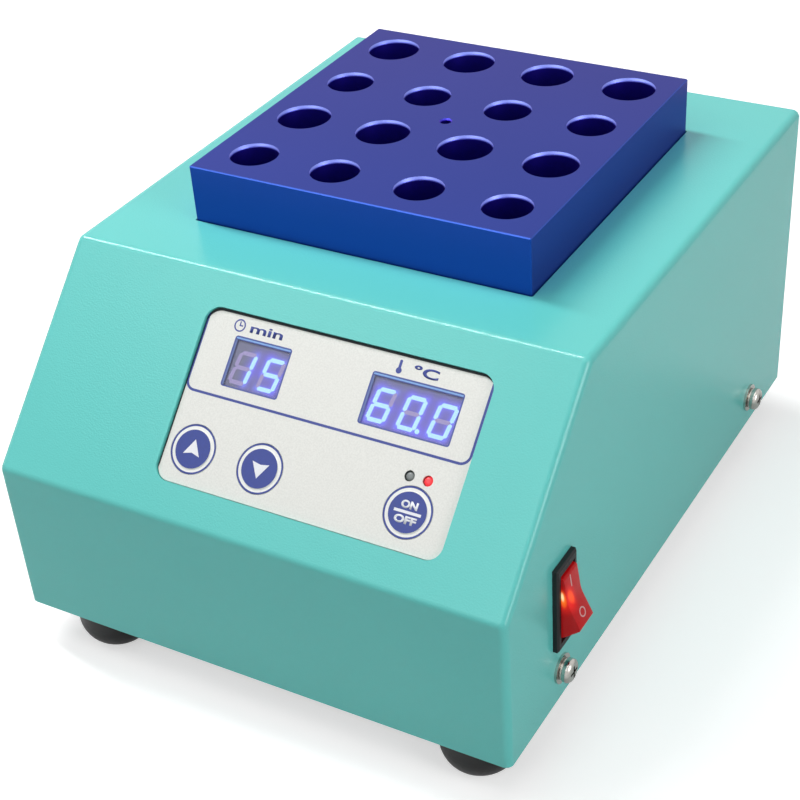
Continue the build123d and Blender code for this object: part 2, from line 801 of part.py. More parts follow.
plate_screw_l = SHEET + BOARD_INSULATION_T + MAT_T + PLATE_SCREW_BITE
save("plate_screws", screws_upward(plate_screw_spots, heater_tray_bottom, M4_R, plate_screw_l))

with BuildPart() as temp_sensor:
    with BuildSketch(facing_rear(BLOCK_Y)):
        with Locations((-PROBE_X, probe_z)):
            Circle(PROBE_R)
    extrude(amount=PROBE_L)
save("temp_sensor", temp_sensor.part)

with BuildPart() as thermal_cutout:
    with BuildSketch(level(plate_bottom)):
        with Locations((0, block_mid_y)):
            Circle(CUTOUT_CAP_R)
    extrude(amount=-CUTOUT_CAP_H)
    with BuildSketch(level(plate_bottom - CUTOUT_CAP_H)):
        with Locations((0, block_mid_y)):
            Circle(CUTOUT_BODY_R)
    extrude(amount=-CUTOUT_BODY_H)
    with BuildSketch(level(plate_bottom - CUTOUT_CAP_H - CUTOUT_BODY_H)):
        with Locations((0, block_mid_y)):
            with GridLocations(CUTOUT_BODY_R, 1, 2, 1):
                Rectangle(BLADE_T, BLADE_W)
    extrude(amount=-BLADE_L)
save("thermal_cutout", thermal_cutout.part)

# ---- Control panel: bracket, overlay, windows, keys and lamps -----------------------------------


def slope_plate(depth, width, height, thickness, corner, x=panel_x, v=panel_v):
    """Flat piece lying in the slope, from a depth below the skin inward."""
    with BuildPart() as plate:
        with BuildSketch(slope(depth)):
            with Locations((x, v)):
                RectangleRounded(width, height, corner)
        extrude(amount=-thickness)
    return plate.part


key_space_r = KEY_R + KEY_PLAY
led_space_r = LED_R + FIT / 2
display_hole_x = (DISPLAY_BOARD_W - 2 * SPACER_R) / 2
display_hole_v = (DISPLAY_BOARD_H - 2 * SPACER_R) / 2
display_spots = four_spots((panel_x, panel_v), display_hole_x, display_hole_v)
bracket_stud_x = bracket_w / 2 - BRACKET_STUD_INSET
bracket_stud_spots = [(panel_x - bracket_stud_x, panel_v), (panel_x + bracket_stud_x, panel_v)]

with BuildPart() as panel_overlay:
    with BuildSketch(slope(overlay_face)):
        with Locations((panel_x, panel_v)):
            RectangleRounded(panel_w - 2 * FIT, panel_h - 2 * FIT, PANEL_R - FIT)
        for x, width in window_places:
            with Locations((x, WINDOW_V)):
                RectangleRounded(width, WINDOW_H, WINDOW_R, mode=Mode.SUBTRACT)
        with Locations(*[(x, KEY_V) for _, x in key_places]):
            Circle(key_space_r, mode=Mode.SUBTRACT)
        with Locations(*[(x, LED_V) for _, x in led_places]):
            Circle(led_space_r, mode=Mode.SUBTRACT)
    extrude(amount=-OVERLAY_T)
save("panel_overlay", panel_overlay.part)

with BuildPart() as panel_bracket:
    with BuildSketch(slope(SHEET)):
        with Locations((panel_x, panel_v)):
            RectangleRounded(bracket_w, bracket_h, EDGE_R)
        for x, width in window_places:
            with Locations((x, WINDOW_V)):
                Rectangle(width + FIT, WINDOW_H + FIT, mode=Mode.SUBTRACT)
        with Locations(*[(x, KEY_V) for _, x in key_places]):
            Circle(key_space_r, mode=Mode.SUBTRACT)
        with Locations(*[(x, LED_V) for _, x in led_places]):
            Circle(LED_FLANGE_R + FIT / 2, mode=Mode.SUBTRACT)
        with Locations(*bracket_stud_spots):
            Circle(M3_R + FIT / 2, mode=Mode.SUBTRACT)
        with Locations(*display_spots):
            Circle(M3_R, mode=Mode.SUBTRACT)
    extrude(amount=-BRACKET_T)
save("panel_bracket", panel_bracket.part)

for name, (x, width) in zip(("time_window", "temp_window"), window_places):
    film = slope_plate(overlay_face, width, WINDOW_H, OVERLAY_T, WINDOW_R, x, WINDOW_V)
    save(name, film)

for name, (x, width) in zip(("time_display", "temp_display"), window_places):
    module = slope_plate(SHEET, width, WINDOW_H, MODULE_T, FIT, x, WINDOW_V)
    save(name, module)

for name, x in key_places:
    with BuildPart() as key:
        with BuildSketch(slope(overlay_face)):
            with Locations((x, KEY_V)):
                Circle(KEY_R)
        extrude(amount=-OVERLAY_T)
        with BuildSketch(slope(overlay_face)):
            with Locations((x, KEY_V)):
                Circle(KEY_RAISED_R)
        extrude(amount=KEY_RAISED_H)
        with BuildSketch(slope(SHEET)):
            with Locations((x, KEY_V)):
                Circle(KEY_STEM_R)
        extrude(amount=-(tact_face - SHEET + KEY_STEM_INTO))
    save(name, key.part)

for name, x in led_places:
    with BuildPart() as led:
        with BuildSketch(slope(display_board_face)):
            with Locations((x, LED_V)):
                Circle(LED_R)
        extrude(amount=display_board_face - overlay_face - LED_SINK)
        fillet(led.edges().sort_by(slope_outward)[-1], LED_R * LED_DOME)
        with BuildSketch(slope(bracket_back)):
            with Locations((x, LED_V)):
                Circle(LED_FLANGE_R)
        extrude(amount=-LED_FLANGE_T)
    save(name, led.part)

# ---- Display board behind the panel -------------------------------------------------------------

with BuildPart() as display_board:
    with BuildSketch(slope(display_board_face)):
        with Locations((panel_x, panel_v)):
            RectangleRounded(DISPLAY_BOARD_W, DISPLAY_BOARD_H, BOARD_R)
        with Locations(*display_spots):
            Circle(M3_R + HOLE_PLAY, mode=Mode.SUBTRACT)
    extrude(amount=-BOARD_T)
save("display_board", display_board.part)

with BuildPart() as display_spacers:
    with BuildSketch(slope(bracket_back)):
        with Locations(*display_spots):
            Circle(SPACER_R)
            Circle(M3_R + HOLE_PLAY, mode=Mode.SUBTRACT)
    extrude(amount=-(display_board_face - bracket_back))
save("display_spacers", display_spacers.part)

display_screw = pan_screw(M3_R, display_board_back - SHEET, SMALL_HEAD_R, SMALL_HEAD_H)
board_back = slope(display_board_back).location
with BuildPart() as display_screws:
    with Locations(*[board_back * Location((x, v, 0), (180, 0, 0)) for x, v in display_spots]):
        add(display_screw)
save("display_screws", display_screws.part)

stud_l = BRACKET_T + NUT_M3_H + FIT
with BuildPart() as bracket_studs:
    with BuildSketch(slope(SHEET)):
        with Locations(*bracket_stud_spots):
            Circle(M3_R)
    extrude(amount=-stud_l)
save("bracket_studs", bracket_studs.part)

with BuildPart() as tact_switches:
    with BuildSketch(slope(tact_face)):
        with Locations(*[(x, KEY_V) for _, x in key_places]):
            Rectangle(TACT_W, TACT_W)
    extrude(amount=-TACT_H)
    with BuildSketch(slope(tact_face)):
        with Locations(*[(x, KEY_V) for _, x in key_places]):
            Circle(KEY_STEM_R + FIT)
    extrude(amount=-(KEY_STEM_INTO + TACT_RECESS), mode=Mode.SUBTRACT)
save("tact_switches", tact_switches.part)

buzzer_x = (KEY_DOWN_X + KEY_RUN_X) / 2
with BuildPart() as buzzer:
    with BuildSketch(slope(display_board_back)):
        with Locations((buzzer_x, KEY_V)):
            Circle(BUZZER_R)
    extrude(amount=-BUZZER_H)
save("buzzer", buzzer.part)

# ---- Rocker switch ------------------------------------------------------------------------------

pivot_x = case_side - ROCKER_PIVOT_IN
pivot_to_face = ROCKER_PIVOT_IN + BEZEL_T
rocker_pivot = Vector(case_x + pivot_x, case_y + SWITCH_Y, case_z + SWITCH_Z)
rocker_plane = Plane(rocker_pivot, x_dir=(cos(tilt), 0, sin(tilt)), z_dir=(0, -1, 0))
pivot_plane = Plane(rocker_pivot, x_dir=(1, 0, 0), z_dir=(0, -1, 0))

with BuildPart() as switch_body:
    with BuildSketch(across(case_side)):
        with Locations((SWITCH_Y, SWITCH_Z)):
            Rectangle(BEZEL_W, BEZEL_L)
    extrude(amount=BEZEL_T)
    chamfer(switch_body.faces().sort_by(Axis.X)[-1].edges(), BEZEL_CHAMFER)
    with BuildSketch(across(case_side)):
        with Locations((SWITCH_Y, SWITCH_Z)):
            Rectangle(switch_body_w, switch_body_l)
    extrude(amount=-SWITCH_DEPTH)
    with BuildSketch(pivot_plane):
        Circle(swing_space_r)
        with Locations((pivot_to_face, 0)):
            Rectangle(2 * pivot_to_face, 2 * swing_space_r)
    extrude(amount=ROCKER_W / 2 + FIT, both=True, mode=Mode.SUBTRACT)
    with BuildSketch(pivot_plane):
        Circle(ROCKER_STUB_R + STUB_PLAY)
    extrude(amount=switch_body_w, both=True, mode=Mode.SUBTRACT)
save("switch_body", switch_body.part)


rocker_heel = asin(ROCKER_UNDER / ROCKER_SWING_R)
rocker_side = radians(ROCKER_SHOULDER)
tip_top = (ROCKER_TIP_OUT, ROCKER_TIP_ALONG)
dish_middle = (ROCKER_TIP_OUT - ROCKER_DISH, 0)
end_top = (ROCKER_SWING_R * sin(rocker_side), ROCKER_SWING_R * cos(rocker_side))
heel_top = (-ROCKER_UNDER, ROCKER_SWING_R * cos(rocker_heel))


def mirrored(point):
    """The same point at the rocker's lower end."""
    return (point[0], -point[1])


def rocker_face():
    """Side view of the rocker about its pivot: dished face and ends swept about the pivot."""
    with BuildSketch() as face:
        with BuildLine():
            Polyline(end_top, tip_top, dish_middle, mirrored(tip_top), mirrored(end_top))
            ThreePointArc(mirrored(end_top), (0, -ROCKER_SWING_R), mirrored(heel_top))
            Line(mirrored(heel_top), heel_top)
            ThreePointArc(heel_top, (0, ROCKER_SWING_R), end_top)
        make_face()
        outward_most = face.vertices().sort_by(Axis.X)
        fillet(outward_most[-2:], ROCKER_TIP_ROUND)
        fillet(face.vertices().sort_by(lambda corner: abs(corner.Y))[0], ROCKER_DISH_ROUND)
    return face.sketch


with BuildPart() as rocker:
    with BuildSketch(rocker_plane):
        add(rocker_face())
    extrude(amount=ROCKER_W / 2, both=True)
    with BuildSketch(rocker_plane):
        add(rocker_face())
        offset(amount=-ROCKER_WALL, kind=Kind.INTERSECTION)
        with Locations((-ROCKER_UNDER, 0)):
            Rectangle(2 * ROCKER_WALL, 2 * (ROCKER_SWING_R - ROCKER_WALL) * cos(rocker_heel))
    extrude(amount=ROCKER_W / 2 - ROCKER_WALL, both=True, mode=Mode.SUBTRACT)
    for side in (-1, 1):
        with BuildSketch(pivot_plane.offset(side * ROCKER_W / 2)):
            Circle(ROCKER_STUB_R)
        extrude(amount=side * (FIT + SWITCH_WALL))
save("rocker", rocker.part)

lamp_wire_rise = LAMP_L / 4
lamp_floor = pivot_x - swing_space_r * cos(asin((lamp_wire_rise + LAMP_WIRE_R) / swing_space_r))

with BuildPart() as neon_lamp:
    with BuildSketch(level(SWITCH_Z)):
        with Locations((pivot_x + LAMP_OUT, SWITCH_Y)):
            Circle(LAMP_R)
    extrude(amount=LAMP_L / 2, both=True)
    fillet(neon_lamp.edges().filter_by(GeomType.CIRCLE), LAMP_R / 2)
    with BuildSketch(across(lamp_floor)):
        with Locations((SWITCH_Y, SWITCH_Z - lamp_wire_rise), (SWITCH_Y, SWITCH_Z + lamp_wire_rise)):
            Circle(LAMP_WIRE_R)
    extrude(amount=pivot_x + LAMP_OUT - lamp_floor)
save("neon_lamp", neon_lamp.part)

switch_back = case_side - SWITCH_DEPTH
blade_pitch = switch_body_l / 3

with BuildPart() as switch_terminals:
    with BuildSketch(across(switch_back)):
        with Locations((SWITCH_Y, SWITCH_Z)):
            with GridLocations(1, blade_pitch, 1, 3):
                Rectangle(BLADE_W, BLADE_T)
    extrude(amount=-BLADE_L)
save("switch_terminals", switch_terminals.part)

# ---- Mains inlet with its fuse drawer -----------------------------------------------------------

inlet_back = rear_face - INLET_BODY_D
pin_tip = inlet_front - SOCKET_D + PIN_L
pin_end = inlet_back - BLADE_L
pin_places = [
    (-INLET_X - PIN_PITCH / 2, socket_z - PIN_RISE / 2),
    (-INLET_X, socket_z + PIN_RISE / 2),
    (-INLET_X + PIN_PITCH / 2, socket_z - PIN_RISE / 2),
]
inlet_screw_places = [(-INLET_X + side * INLET_SCREW_PITCH / 2, inlet_z) for side in (-1, 1)]

with BuildPart() as mains_inlet:
    with BuildSketch(facing_rear(rear_face)):
        with Locations((-INLET_X, inlet_z)):
            RectangleRounded(INLET_W, INLET_H, SOCKET_CORNER)
    extrude(amount=INLET_T)
    chamfer(mains_inlet.faces().sort_by(Axis.Y)[-1].edges(), BEZEL_CHAMFER)
    with BuildSketch(facing_rear(rear_face)):
        with Locations((-INLET_X, inlet_z)):
            Rectangle(INLET_BODY_W, INLET_BODY_H)
    extrude(amount=-INLET_BODY_D)
    with BuildSketch(facing_rear(inlet_front)) as socket:
        with Locations((-INLET_X, socket_z)):
            Rectangle(SOCKET_W, SOCKET_H)
        chamfer(socket.vertices().group_by(Axis.Y)[-1], SOCKET_CORNER)
    extrude(amount=-SOCKET_D, mode=Mode.SUBTRACT)
    with BuildSketch(facing_rear(inlet_front)):
        with Locations((-INLET_X, drawer_z)):
            Rectangle(DRAWER_W + 2 * FIT, DRAWER_H + 2 * FIT)
    extrude(amount=-(DRAWER_D + FIT), mode=Mode.SUBTRACT)
    with BuildSketch(facing_rear(inlet_front)):
        with Locations(*pin_places):
            Rectangle(PIN_W, PIN_H)
    extrude(amount=-(INLET_T + INLET_BODY_D), mode=Mode.SUBTRACT)
    with BuildSketch(facing_rear(inlet_front)):
        with Locations(*inlet_screw_places):
            Circle(SMALL_HEAD_R + HOLE_PLAY)
    extrude(amount=-SMALL_HEAD_H, mode=Mode.SUBTRACT)
    with BuildSketch(facing_rear(inlet_front)):
        with Locations(*inlet_screw_places):
            Circle(M3_R + HOLE_PLAY)
    extrude(amount=-INLET_T, mode=Mode.SUBTRACT)
save("mains_inlet", mains_inlet.part)

with BuildPart() as inlet_pins:
    with BuildSketch(facing_rear(pin_tip)):
        with Locations(*pin_places):
            Rectangle(PIN_W, PIN_H)
    extrude(amount=pin_end - pin_tip)
save("inlet_pins", inlet_pins.part)

inlet_nut_face = rear_face - SHEET
inlet_shank = inlet_front - SMALL_HEAD_H - inlet_nut_face + NUT_M3_H + FIT
inlet_screw = pan_screw(M3_R, inlet_shank, SMALL_HEAD_R, SMALL_HEAD_H)

inlet_head_seat = facing_rear(inlet_front - SMALL_HEAD_H).location

with BuildPart() as inlet_screws:
    with Locations(*[inlet_head_seat * Location((x, z, 0)) for x, z in inlet_screw_places]):
        add(inlet_screw)
save("inlet_screws", inlet_screws.part)

with BuildPart() as small_nuts:
    with BuildSketch(facing_rear(inlet_nut_face)):
        with Locations(*inlet_screw_places):
            RegularPolygon(NUT_M3_AF / 2, 6, major_radius=False)
            Circle(M3_R, mode=Mode.SUBTRACT)
    extrude(amount=-NUT_M3_H)
    with BuildSketch(slope(bracket_back)):
        with Locations(*bracket_stud_spots):
            RegularPolygon(NUT_M3_AF / 2, 6, major_radius=False)
            Circle(M3_R, mode=Mode.SUBTRACT)
    extrude(amount=-NUT_M3_H)
save("small_nuts", small_nuts.part)

fuse_y = inlet_front - DRAWER_D / 2
fuse_pocket_r = FUSE_R + FIT / 2

with BuildPart() as fuse_drawer:
    with BuildSketch(facing_rear(inlet_front)):
        with Locations((-INLET_X, drawer_z)):
            Rectangle(DRAWER_W, DRAWER_H)
    extrude(amount=-DRAWER_D)
    with BuildSketch(facing_rear(inlet_front)):
        with Locations((-INLET_X, drawer_z)):
            Rectangle(DRAWER_W - 2 * INLET_T, DRAWER_GRIP)
    extrude(amount=DRAWER_GRIP)
    with BuildSketch(across(INLET_X)):
        with Locations((fuse_y, drawer_z)):
            Circle(fuse_pocket_r)
        with Locations((fuse_y, drawer_z + DRAWER_H / 2)):
            Rectangle(2 * fuse_pocket_r, DRAWER_H)
    extrude(amount=FUSE_L / 2 + FIT, both=True, mode=Mode.SUBTRACT)
save("fuse_drawer", fuse_drawer.part)

with BuildPart() as fuse:
    with BuildSketch(across(INLET_X)):
        with Locations((fuse_y, drawer_z)):
            Circle(FUSE_R - FUSE_CAP_STEP)
    extrude(amount=FUSE_L / 2, both=True)
    for side in (-1, 1):
        with BuildSketch(across(INLET_X + side * FUSE_L / 2)):
            with Locations((fuse_y, drawer_z)):
                Circle(FUSE_R)
        extrude(amount=-side * FUSE_CAP_L)
save("fuse", fuse.part)

# ---- Power electronics on the base --------------------------------------------------------------

with BuildPart() as power_board:
    with BuildSketch(level(power_floor)):
        with Locations((POWER_X, POWER_Y)):
            RectangleRounded(POWER_W, POWER_D, BOARD_R)
        with Locations(*power_spots):
            Circle(M3_R + HOLE_PLAY, mode=Mode.SUBTRACT)
    extrude(amount=BOARD_T)
save("power_board", power_board.part)

with BuildPart() as power_spacers:
    with BuildSketch(level(tray_floor)):
        with Locations(*power_spots):
            RegularPolygon(POWER_SPACER_AF / 2, 6, major_radius=False)
            Circle(M3_R, mode=Mode.SUBTRACT)
    extrude(amount=POWER_SPACER_H)
save("power_spacers", power_spacers.part)

with BuildPart() as power_screws:
    with Locations(*[level(power_top).location * Location((x, y, 0)) for x, y in power_spots]):
        add(pan_screw(M3_R, BOARD_T + POWER_SCREW_BITE, SMALL_HEAD_R, SMALL_HEAD_H))
save("power_screws", power_screws.part)

transformer_x = POWER_X - POWER_W / 2 + TRANSFORMER_W
with BuildPart() as transformer:
    with BuildSketch(level(power_top)):
        with Locations((transformer_x, POWER_Y)):
            Rectangle(TRANSFORMER_W, TRANSFORMER_D - 2 * COIL_OUT)
    extrude(amount=TRANSFORMER_H)
    with BuildSketch(facing_rear(POWER_Y)):
        with Locations((-transformer_x, power_top + TRANSFORMER_H / 2)):
            RectangleRounded(COIL_W, COIL_H, EDGE_R)
    extrude(amount=TRANSFORMER_D / 2, both=True)
save("transformer", transformer.part)

heatsink_x = POWER_X + HEATSINK_W / 2
heatsink_y = POWER_Y - POWER_D / 2 + HEATSINK_D
fin_pitch = (HEATSINK_W - FIN_T) / (HEATSINK_FINS - 1)
with BuildPart() as triac_heatsink:
    with BuildSketch(level(power_top)):
        with Locations((heatsink_x, heatsink_y)):
            Rectangle(HEATSINK_W, HEATSINK_BASE, align=(Align.CENTER, Align.MAX))
            with GridLocations(fin_pitch, 1, HEATSINK_FINS, 1):
                Rectangle(FIN_T, HEATSINK_D, align=(Align.CENTER, Align.MAX))
    extrude(amount=HEATSINK_H)
save("triac_heatsink", triac_heatsink.part)

with BuildPart() as triac:
    with BuildSketch(level(power_top + TRIAC_UP)):
        with Locations((heatsink_x, heatsink_y)):
            Rectangle(TRIAC_W, TRIAC_T, align=(Align.CENTER, Align.MIN))
    extrude(amount=TRIAC_H)
    with BuildSketch(level(power_top)):
        with Locations((heatsink_x, heatsink_y + TRIAC_T / 2)):
            with GridLocations(TRIAC_W / 4, 1, 3, 1):
                Rectangle(BLADE_T, BLADE_T)
    extrude(amount=TRIAC_UP)
save("triac", triac.part)

terminal_x = POWER_X + POWER_W / 2 - TERMINAL_W / 2
terminal_l = TERMINAL_POLES * TERMINAL_PITCH
terminal_y = POWER_Y - power_hole_y + POWER_SPACER_AF + terminal_l / 2
terminal_face = terminal_x + TERMINAL_W / 2
terminal_z = power_top + TERMINAL_ENTRY
first_pole_y = terminal_y - (terminal_l - TERMINAL_PITCH) / 2
pole_ys = [first_pole_y + pole * TERMINAL_PITCH for pole in range(TERMINAL_POLES)]
with BuildPart() as terminal_block:
    with BuildSketch(level(power_top)):
        with Locations((terminal_x, terminal_y)):
            Rectangle(TERMINAL_W, terminal_l)
    extrude(amount=TERMINAL_H)
    with BuildSketch(level(power_top + TERMINAL_H)):
        with Locations(*[(terminal_x, y) for y in pole_ys]):
            Circle(M3_R)
    extrude(amount=-TERMINAL_ENTRY, mode=Mode.SUBTRACT)
save("terminal_block", terminal_block.part)

with BuildPart() as capacitor:
    with BuildSketch(level(power_top)):
        with Locations((CAPACITOR_X, CAPACITOR_Y)):
            Circle(CAPACITOR_R)
    extrude(amount=CAPACITOR_H)
    fillet(capacitor.edges().filter_by(GeomType.CIRCLE).sort_by(Axis.Z)[-1], FIT)
save("capacitor", capacitor.part)

# ---- Wires and ribbon ---------------------------------------------------------------------------

ribbon_down = (
    RIBBON_V * cos(slope_angle) + display_board_back * sin(slope_angle),
    FRONT_H + RIBBON_V * sin(slope_angle) - display_board_back * cos(slope_angle),
)
ribbon_run = (HEADER_Y - ribbon_down[0]) / tan(slope_angle)
header_top = power_top + HEADER_H
with BuildPart() as display_ribbon:
    with BuildSketch(level(power_top)):
        with Locations((HEADER_X, HEADER_Y)):
            Rectangle(HEADER_W, HEADER_D)
    extrude(amount=HEADER_H)
    with BuildLine(across(HEADER_X)) as ribbon_path:
        FilletPolyline(
            (HEADER_Y, header_top),
            (HEADER_Y, ribbon_down[1] - ribbon_run),
            ribbon_down,
            radius=RIBBON_BEND,
        )
    with BuildSketch(level(header_top)):
        with Locations((HEADER_X, HEADER_Y)):
            Rectangle(RIBBON_W, RIBBON_T)
    sweep(path=ribbon_path.line)
save("display_ribbon", display_ribbon.part)

with BuildPart() as earth_stud:
    with BuildSketch(level(tray_floor)):
        with Locations((INLET_X, earth_y)):
            Circle(M4_R)
    extrude(amount=EARTH_H)
    with BuildSketch(level(tray_floor)):
        with Locations((INLET_X, earth_y)):
            RegularPolygon(NUT_M4_AF / 2, 6, major_radius=False)
    extrude(amount=NUT_M4_H)
save("earth_stud", earth_stud.part)


def to_terminal(pole, lane, route):
    """Route of a wire that comes down beside the terminal block in its own lane and enters a pole."""
    lane_x = terminal_face + LEAD_BEND + 2 * LEAD_R + lane * LEAD_SPREAD
    pole_y = pole_ys[pole]
    return route(lane_x) + [(lane_x, pole_y, terminal_z), (terminal_face, pole_y, terminal_z)]


blade_end = plate_bottom - CUTOUT_CAP_H - CUTOUT_BODY_H - BLADE_L
blade_x = CUTOUT_BODY_R / 2
switch_wire_x = switch_back - BLADE_L
pin_low_z = socket_z - PIN_RISE / 2
pin_high_z = socket_z + PIN_RISE / 2
live_x = INLET_X + PIN_PITCH / 2
neutral_x = INLET_X - PIN_PITCH / 2
switch_wire_z = SWITCH_Z - blade_pitch
inlet_turn_y = pin_end - LEAD_STRAIGHT


def from_switch(lane_x):
    """Start of the switched live wire."""
    return [(switch_wire_x, SWITCH_Y, switch_wire_z), (lane_x, SWITCH_Y, switch_wire_z)]


def from_neutral(lane_x):
    """Start of the neutral wire at the inlet."""
    straight = [(neutral_x, pin_end, pin_low_z), (neutral_x, inlet_turn_y, pin_low_z)]
    return straight + [(lane_x, BLOCK_Y, pin_low_z)]


def from_heater(side):
    """Start of a heater wire, which drops from the thermal cut-out's blade and runs forward."""
    wire_x = side * blade_x
    drop = [(wire_x, block_mid_y, blade_end), (wire_x, block_mid_y, LEAD_LEVEL)]
    return lambda lane_x: drop + [(lane_x, BLOCK_Y, LEAD_LEVEL)]


lead_routes = [
    to_terminal(0, 3, from_switch),
    to_terminal(1, 2, from_neutral),
    to_terminal(3, 1, from_heater(1)),
    to_terminal(4, 0, from_heater(-1)),
    [
        (live_x, pin_end, pin_low_z),
        (live_x, SWITCH_Y, pin_low_z),
        (switch_wire_x, SWITCH_Y, pin_low_z),
    ],
    [
        (INLET_X, pin_end, pin_high_z),
        (INLET_X, earth_y, pin_high_z),
        (INLET_X, earth_y, tray_floor + EARTH_H),
    ],
    [
        (PROBE_X, BLOCK_Y, probe_z),
        (PROBE_X, HEADER_Y, probe_z),
        (PROBE_X, HEADER_Y, power_top),
    ],
]

with BuildPart() as internal_leads:
    for route in lead_routes:
        points = [(case_x + x, case_y + y, case_z + z) for x, y, z in route]
        with BuildLine() as lead_path:
            FilletPolyline(*points, radius=LEAD_BEND)
        with BuildSketch(Plane(points[0], z_dir=lead_path.line % 0)):
            Circle(LEAD_R)
        sweep(path=lead_path.line)
save("internal_leads", internal_leads.part)
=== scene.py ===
import json
import math

import bmesh
import bpy
from mathutils import Matrix, Vector


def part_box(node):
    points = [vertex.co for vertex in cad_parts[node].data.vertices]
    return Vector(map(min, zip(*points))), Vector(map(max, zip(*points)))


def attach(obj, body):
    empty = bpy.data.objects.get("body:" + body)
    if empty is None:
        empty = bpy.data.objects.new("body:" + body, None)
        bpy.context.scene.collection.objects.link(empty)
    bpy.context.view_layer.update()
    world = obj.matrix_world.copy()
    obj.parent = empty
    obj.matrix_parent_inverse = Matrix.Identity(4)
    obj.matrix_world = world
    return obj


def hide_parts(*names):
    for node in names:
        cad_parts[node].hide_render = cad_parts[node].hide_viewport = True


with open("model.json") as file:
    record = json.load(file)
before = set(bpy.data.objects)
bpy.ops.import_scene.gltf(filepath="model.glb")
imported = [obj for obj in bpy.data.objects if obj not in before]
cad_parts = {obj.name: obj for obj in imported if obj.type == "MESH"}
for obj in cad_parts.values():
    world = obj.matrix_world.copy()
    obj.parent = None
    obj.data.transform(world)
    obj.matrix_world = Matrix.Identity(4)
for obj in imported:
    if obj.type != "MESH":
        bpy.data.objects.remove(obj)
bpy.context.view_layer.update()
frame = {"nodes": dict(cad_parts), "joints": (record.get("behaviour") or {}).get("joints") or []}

# ---- Base tray ---------------------------------------------------------------------------------
# The shallow pan under the case, folded from 1.5 mm zinc-plated steel sheet with vent slots.
# Pan screws through its lips and its floor hold everything else; hex nuts are welded inside.

MM = 0.001


def linear(code):
    """Linear RGBA colour of an sRGB hex code."""
    parts = [int(code[start:start + 2], 16) / 255 for start in (1, 3, 5)]
    lit = [part / 12.92 if part <= 0.04045 else ((part + 0.055) / 1.055) ** 2.4 for part in parts]
    return (*lit, 1.0)


def add_node(tree, kind, inputs=None, **settings):
    """Add a node with its settings, and set or link its inputs."""
    node = tree.nodes.new(kind)
    for name, value in settings.items():
        setattr(node, name, value)
    for name, value in (inputs or {}).items():
        if isinstance(value, bpy.types.NodeSocket):
            tree.links.new(value, node.inputs[name])
        else:
            node.inputs[name].default_value = value
    return node


def new_material(name):
    """An empty node material and its tree."""
    material = bpy.data.materials.new(name)
    material.use_nodes = True
    material.node_tree.nodes.clear()
    return material, material.node_tree


def object_space(tree):
    """The object coordinates, which are metres in the part's frame."""
    return add_node(tree, "ShaderNodeTexCoord").outputs["Object"]


def noise(tree, place, cell, detail):
    """Noise with cells of a real size."""
    inputs = {"Vector": place, "Scale": 1 / cell, "Detail": detail}
    return add_node(tree, "ShaderNodeTexNoise", inputs).outputs["Fac"]


def bumped(tree, height, relief):
    """The normal after a bump pattern of a real depth."""
    inputs = {"Height": height, "Distance": relief, "Strength": 1.0}
    return add_node(tree, "ShaderNodeBump", inputs).outputs["Normal"]


def mixed(tree, share, *ends):
    """A mix of two colours, each an sRGB hex code or a socket."""
    first, second = (linear(end) if isinstance(end, str) else end for end in ends)
    return add_node(tree, "ShaderNodeMix", {0: share, 6: first, 7: second}, data_type="RGBA").outputs[2]


def worked(tree, operation, first, second):
    """The result of one sum on two numbers."""
    return add_node(tree, "ShaderNodeMath", {0: first, 1: second}, operation=operation).outputs[0]


def surfaced(tree, inputs):
    """End a material's tree with its surface shader."""
    shader = add_node(tree, "ShaderNodeBsdfPrincipled", inputs)
    add_node(tree, "ShaderNodeOutputMaterial", {"Surface": shader.outputs["BSDF"]})


def grained(name, colours, grain, roughness, relief, **surface):
    """A material with two colours and two roughnesses mixed by a grain of a real size."""
    material, tree = new_material(name)
    speckle = noise(tree, object_space(tree), grain, 4.0)
    span = {"From Min": 0.3, "From Max": 0.7, "To Min": roughness[0], "To Max": roughness[1]}
    sheen = add_node(tree, "ShaderNodeMapRange", {"Value": speckle, **span})
    inputs = {
        "Base Color": mixed(tree, speckle, *colours),
        "Roughness": sheen.outputs["Result"],
        "Normal": bumped(tree, speckle, relief),
    }
    surfaced(tree, {**inputs, **surface})
    return material


def placed(name, data):
    """A new object in the scene."""
    piece = bpy.data.objects.new(name, data)
    bpy.context.scene.collection.objects.link(piece)
    return piece


def plain_mesh(piece):
    """A plain mesh of an object as its modifiers or its curve make it."""
    bpy.context.view_layer.update()
    return bpy.data.meshes.new_from_object(piece.evaluated_get(bpy.context.evaluated_depsgraph_get()))


def dress(material, *names):
    """Give CAD nodes a material."""
    for name in names:
        slots = frame["nodes"][name].material_slots
        for slot in slots:
            slot.material = material


# Zinc plate: a soft grey metal with a faint cloudy spangle.
zinc_plate = grained(
    "Zinc-plated steel sheet", ("#a9acae", "#c3c5c6"), 6 * MM, (0.32, 0.46), 0.01 * MM, Metallic=1.0
)
dress(zinc_plate, "base_tray", "heater_tray")

# Bright zinc on small turned and cold-headed steel pieces.
bright_zinc = grained(
    "Bright zinc plate", ("#b4b6b4", "#cfd0cc"), 1.2 * MM, (0.22, 0.34), 0.004 * MM, Metallic=1.0
)
dress(bright_zinc, "weld_nuts", "foot_nuts", "foot_studs", "heater_pillars", "bracket_studs", "small_nuts")
dress(bright_zinc, "display_screws", "power_screws")

# ---- Rubber feet -------------------------------------------------------------------------------
# Four domed feet of black moulded rubber, each vulcanised to a steel disc with a stud.

# Moulded rubber: near black, with the dull shine of a polished mould and a little dust.
foot_rubber = grained(
    "Moulded black rubber",
    ("#070708", "#101012"),
    1.5 * MM,
    (0.30, 0.44),
    0.01 * MM,
    **{"Specular IOR Level": 0.4},
)
dress(foot_rubber, "feet")

# ---- Rear panel --------------------------------------------------------------------------------
# A flat plate that closes the back, powder-coated like the cover, with two groups of vent slots.

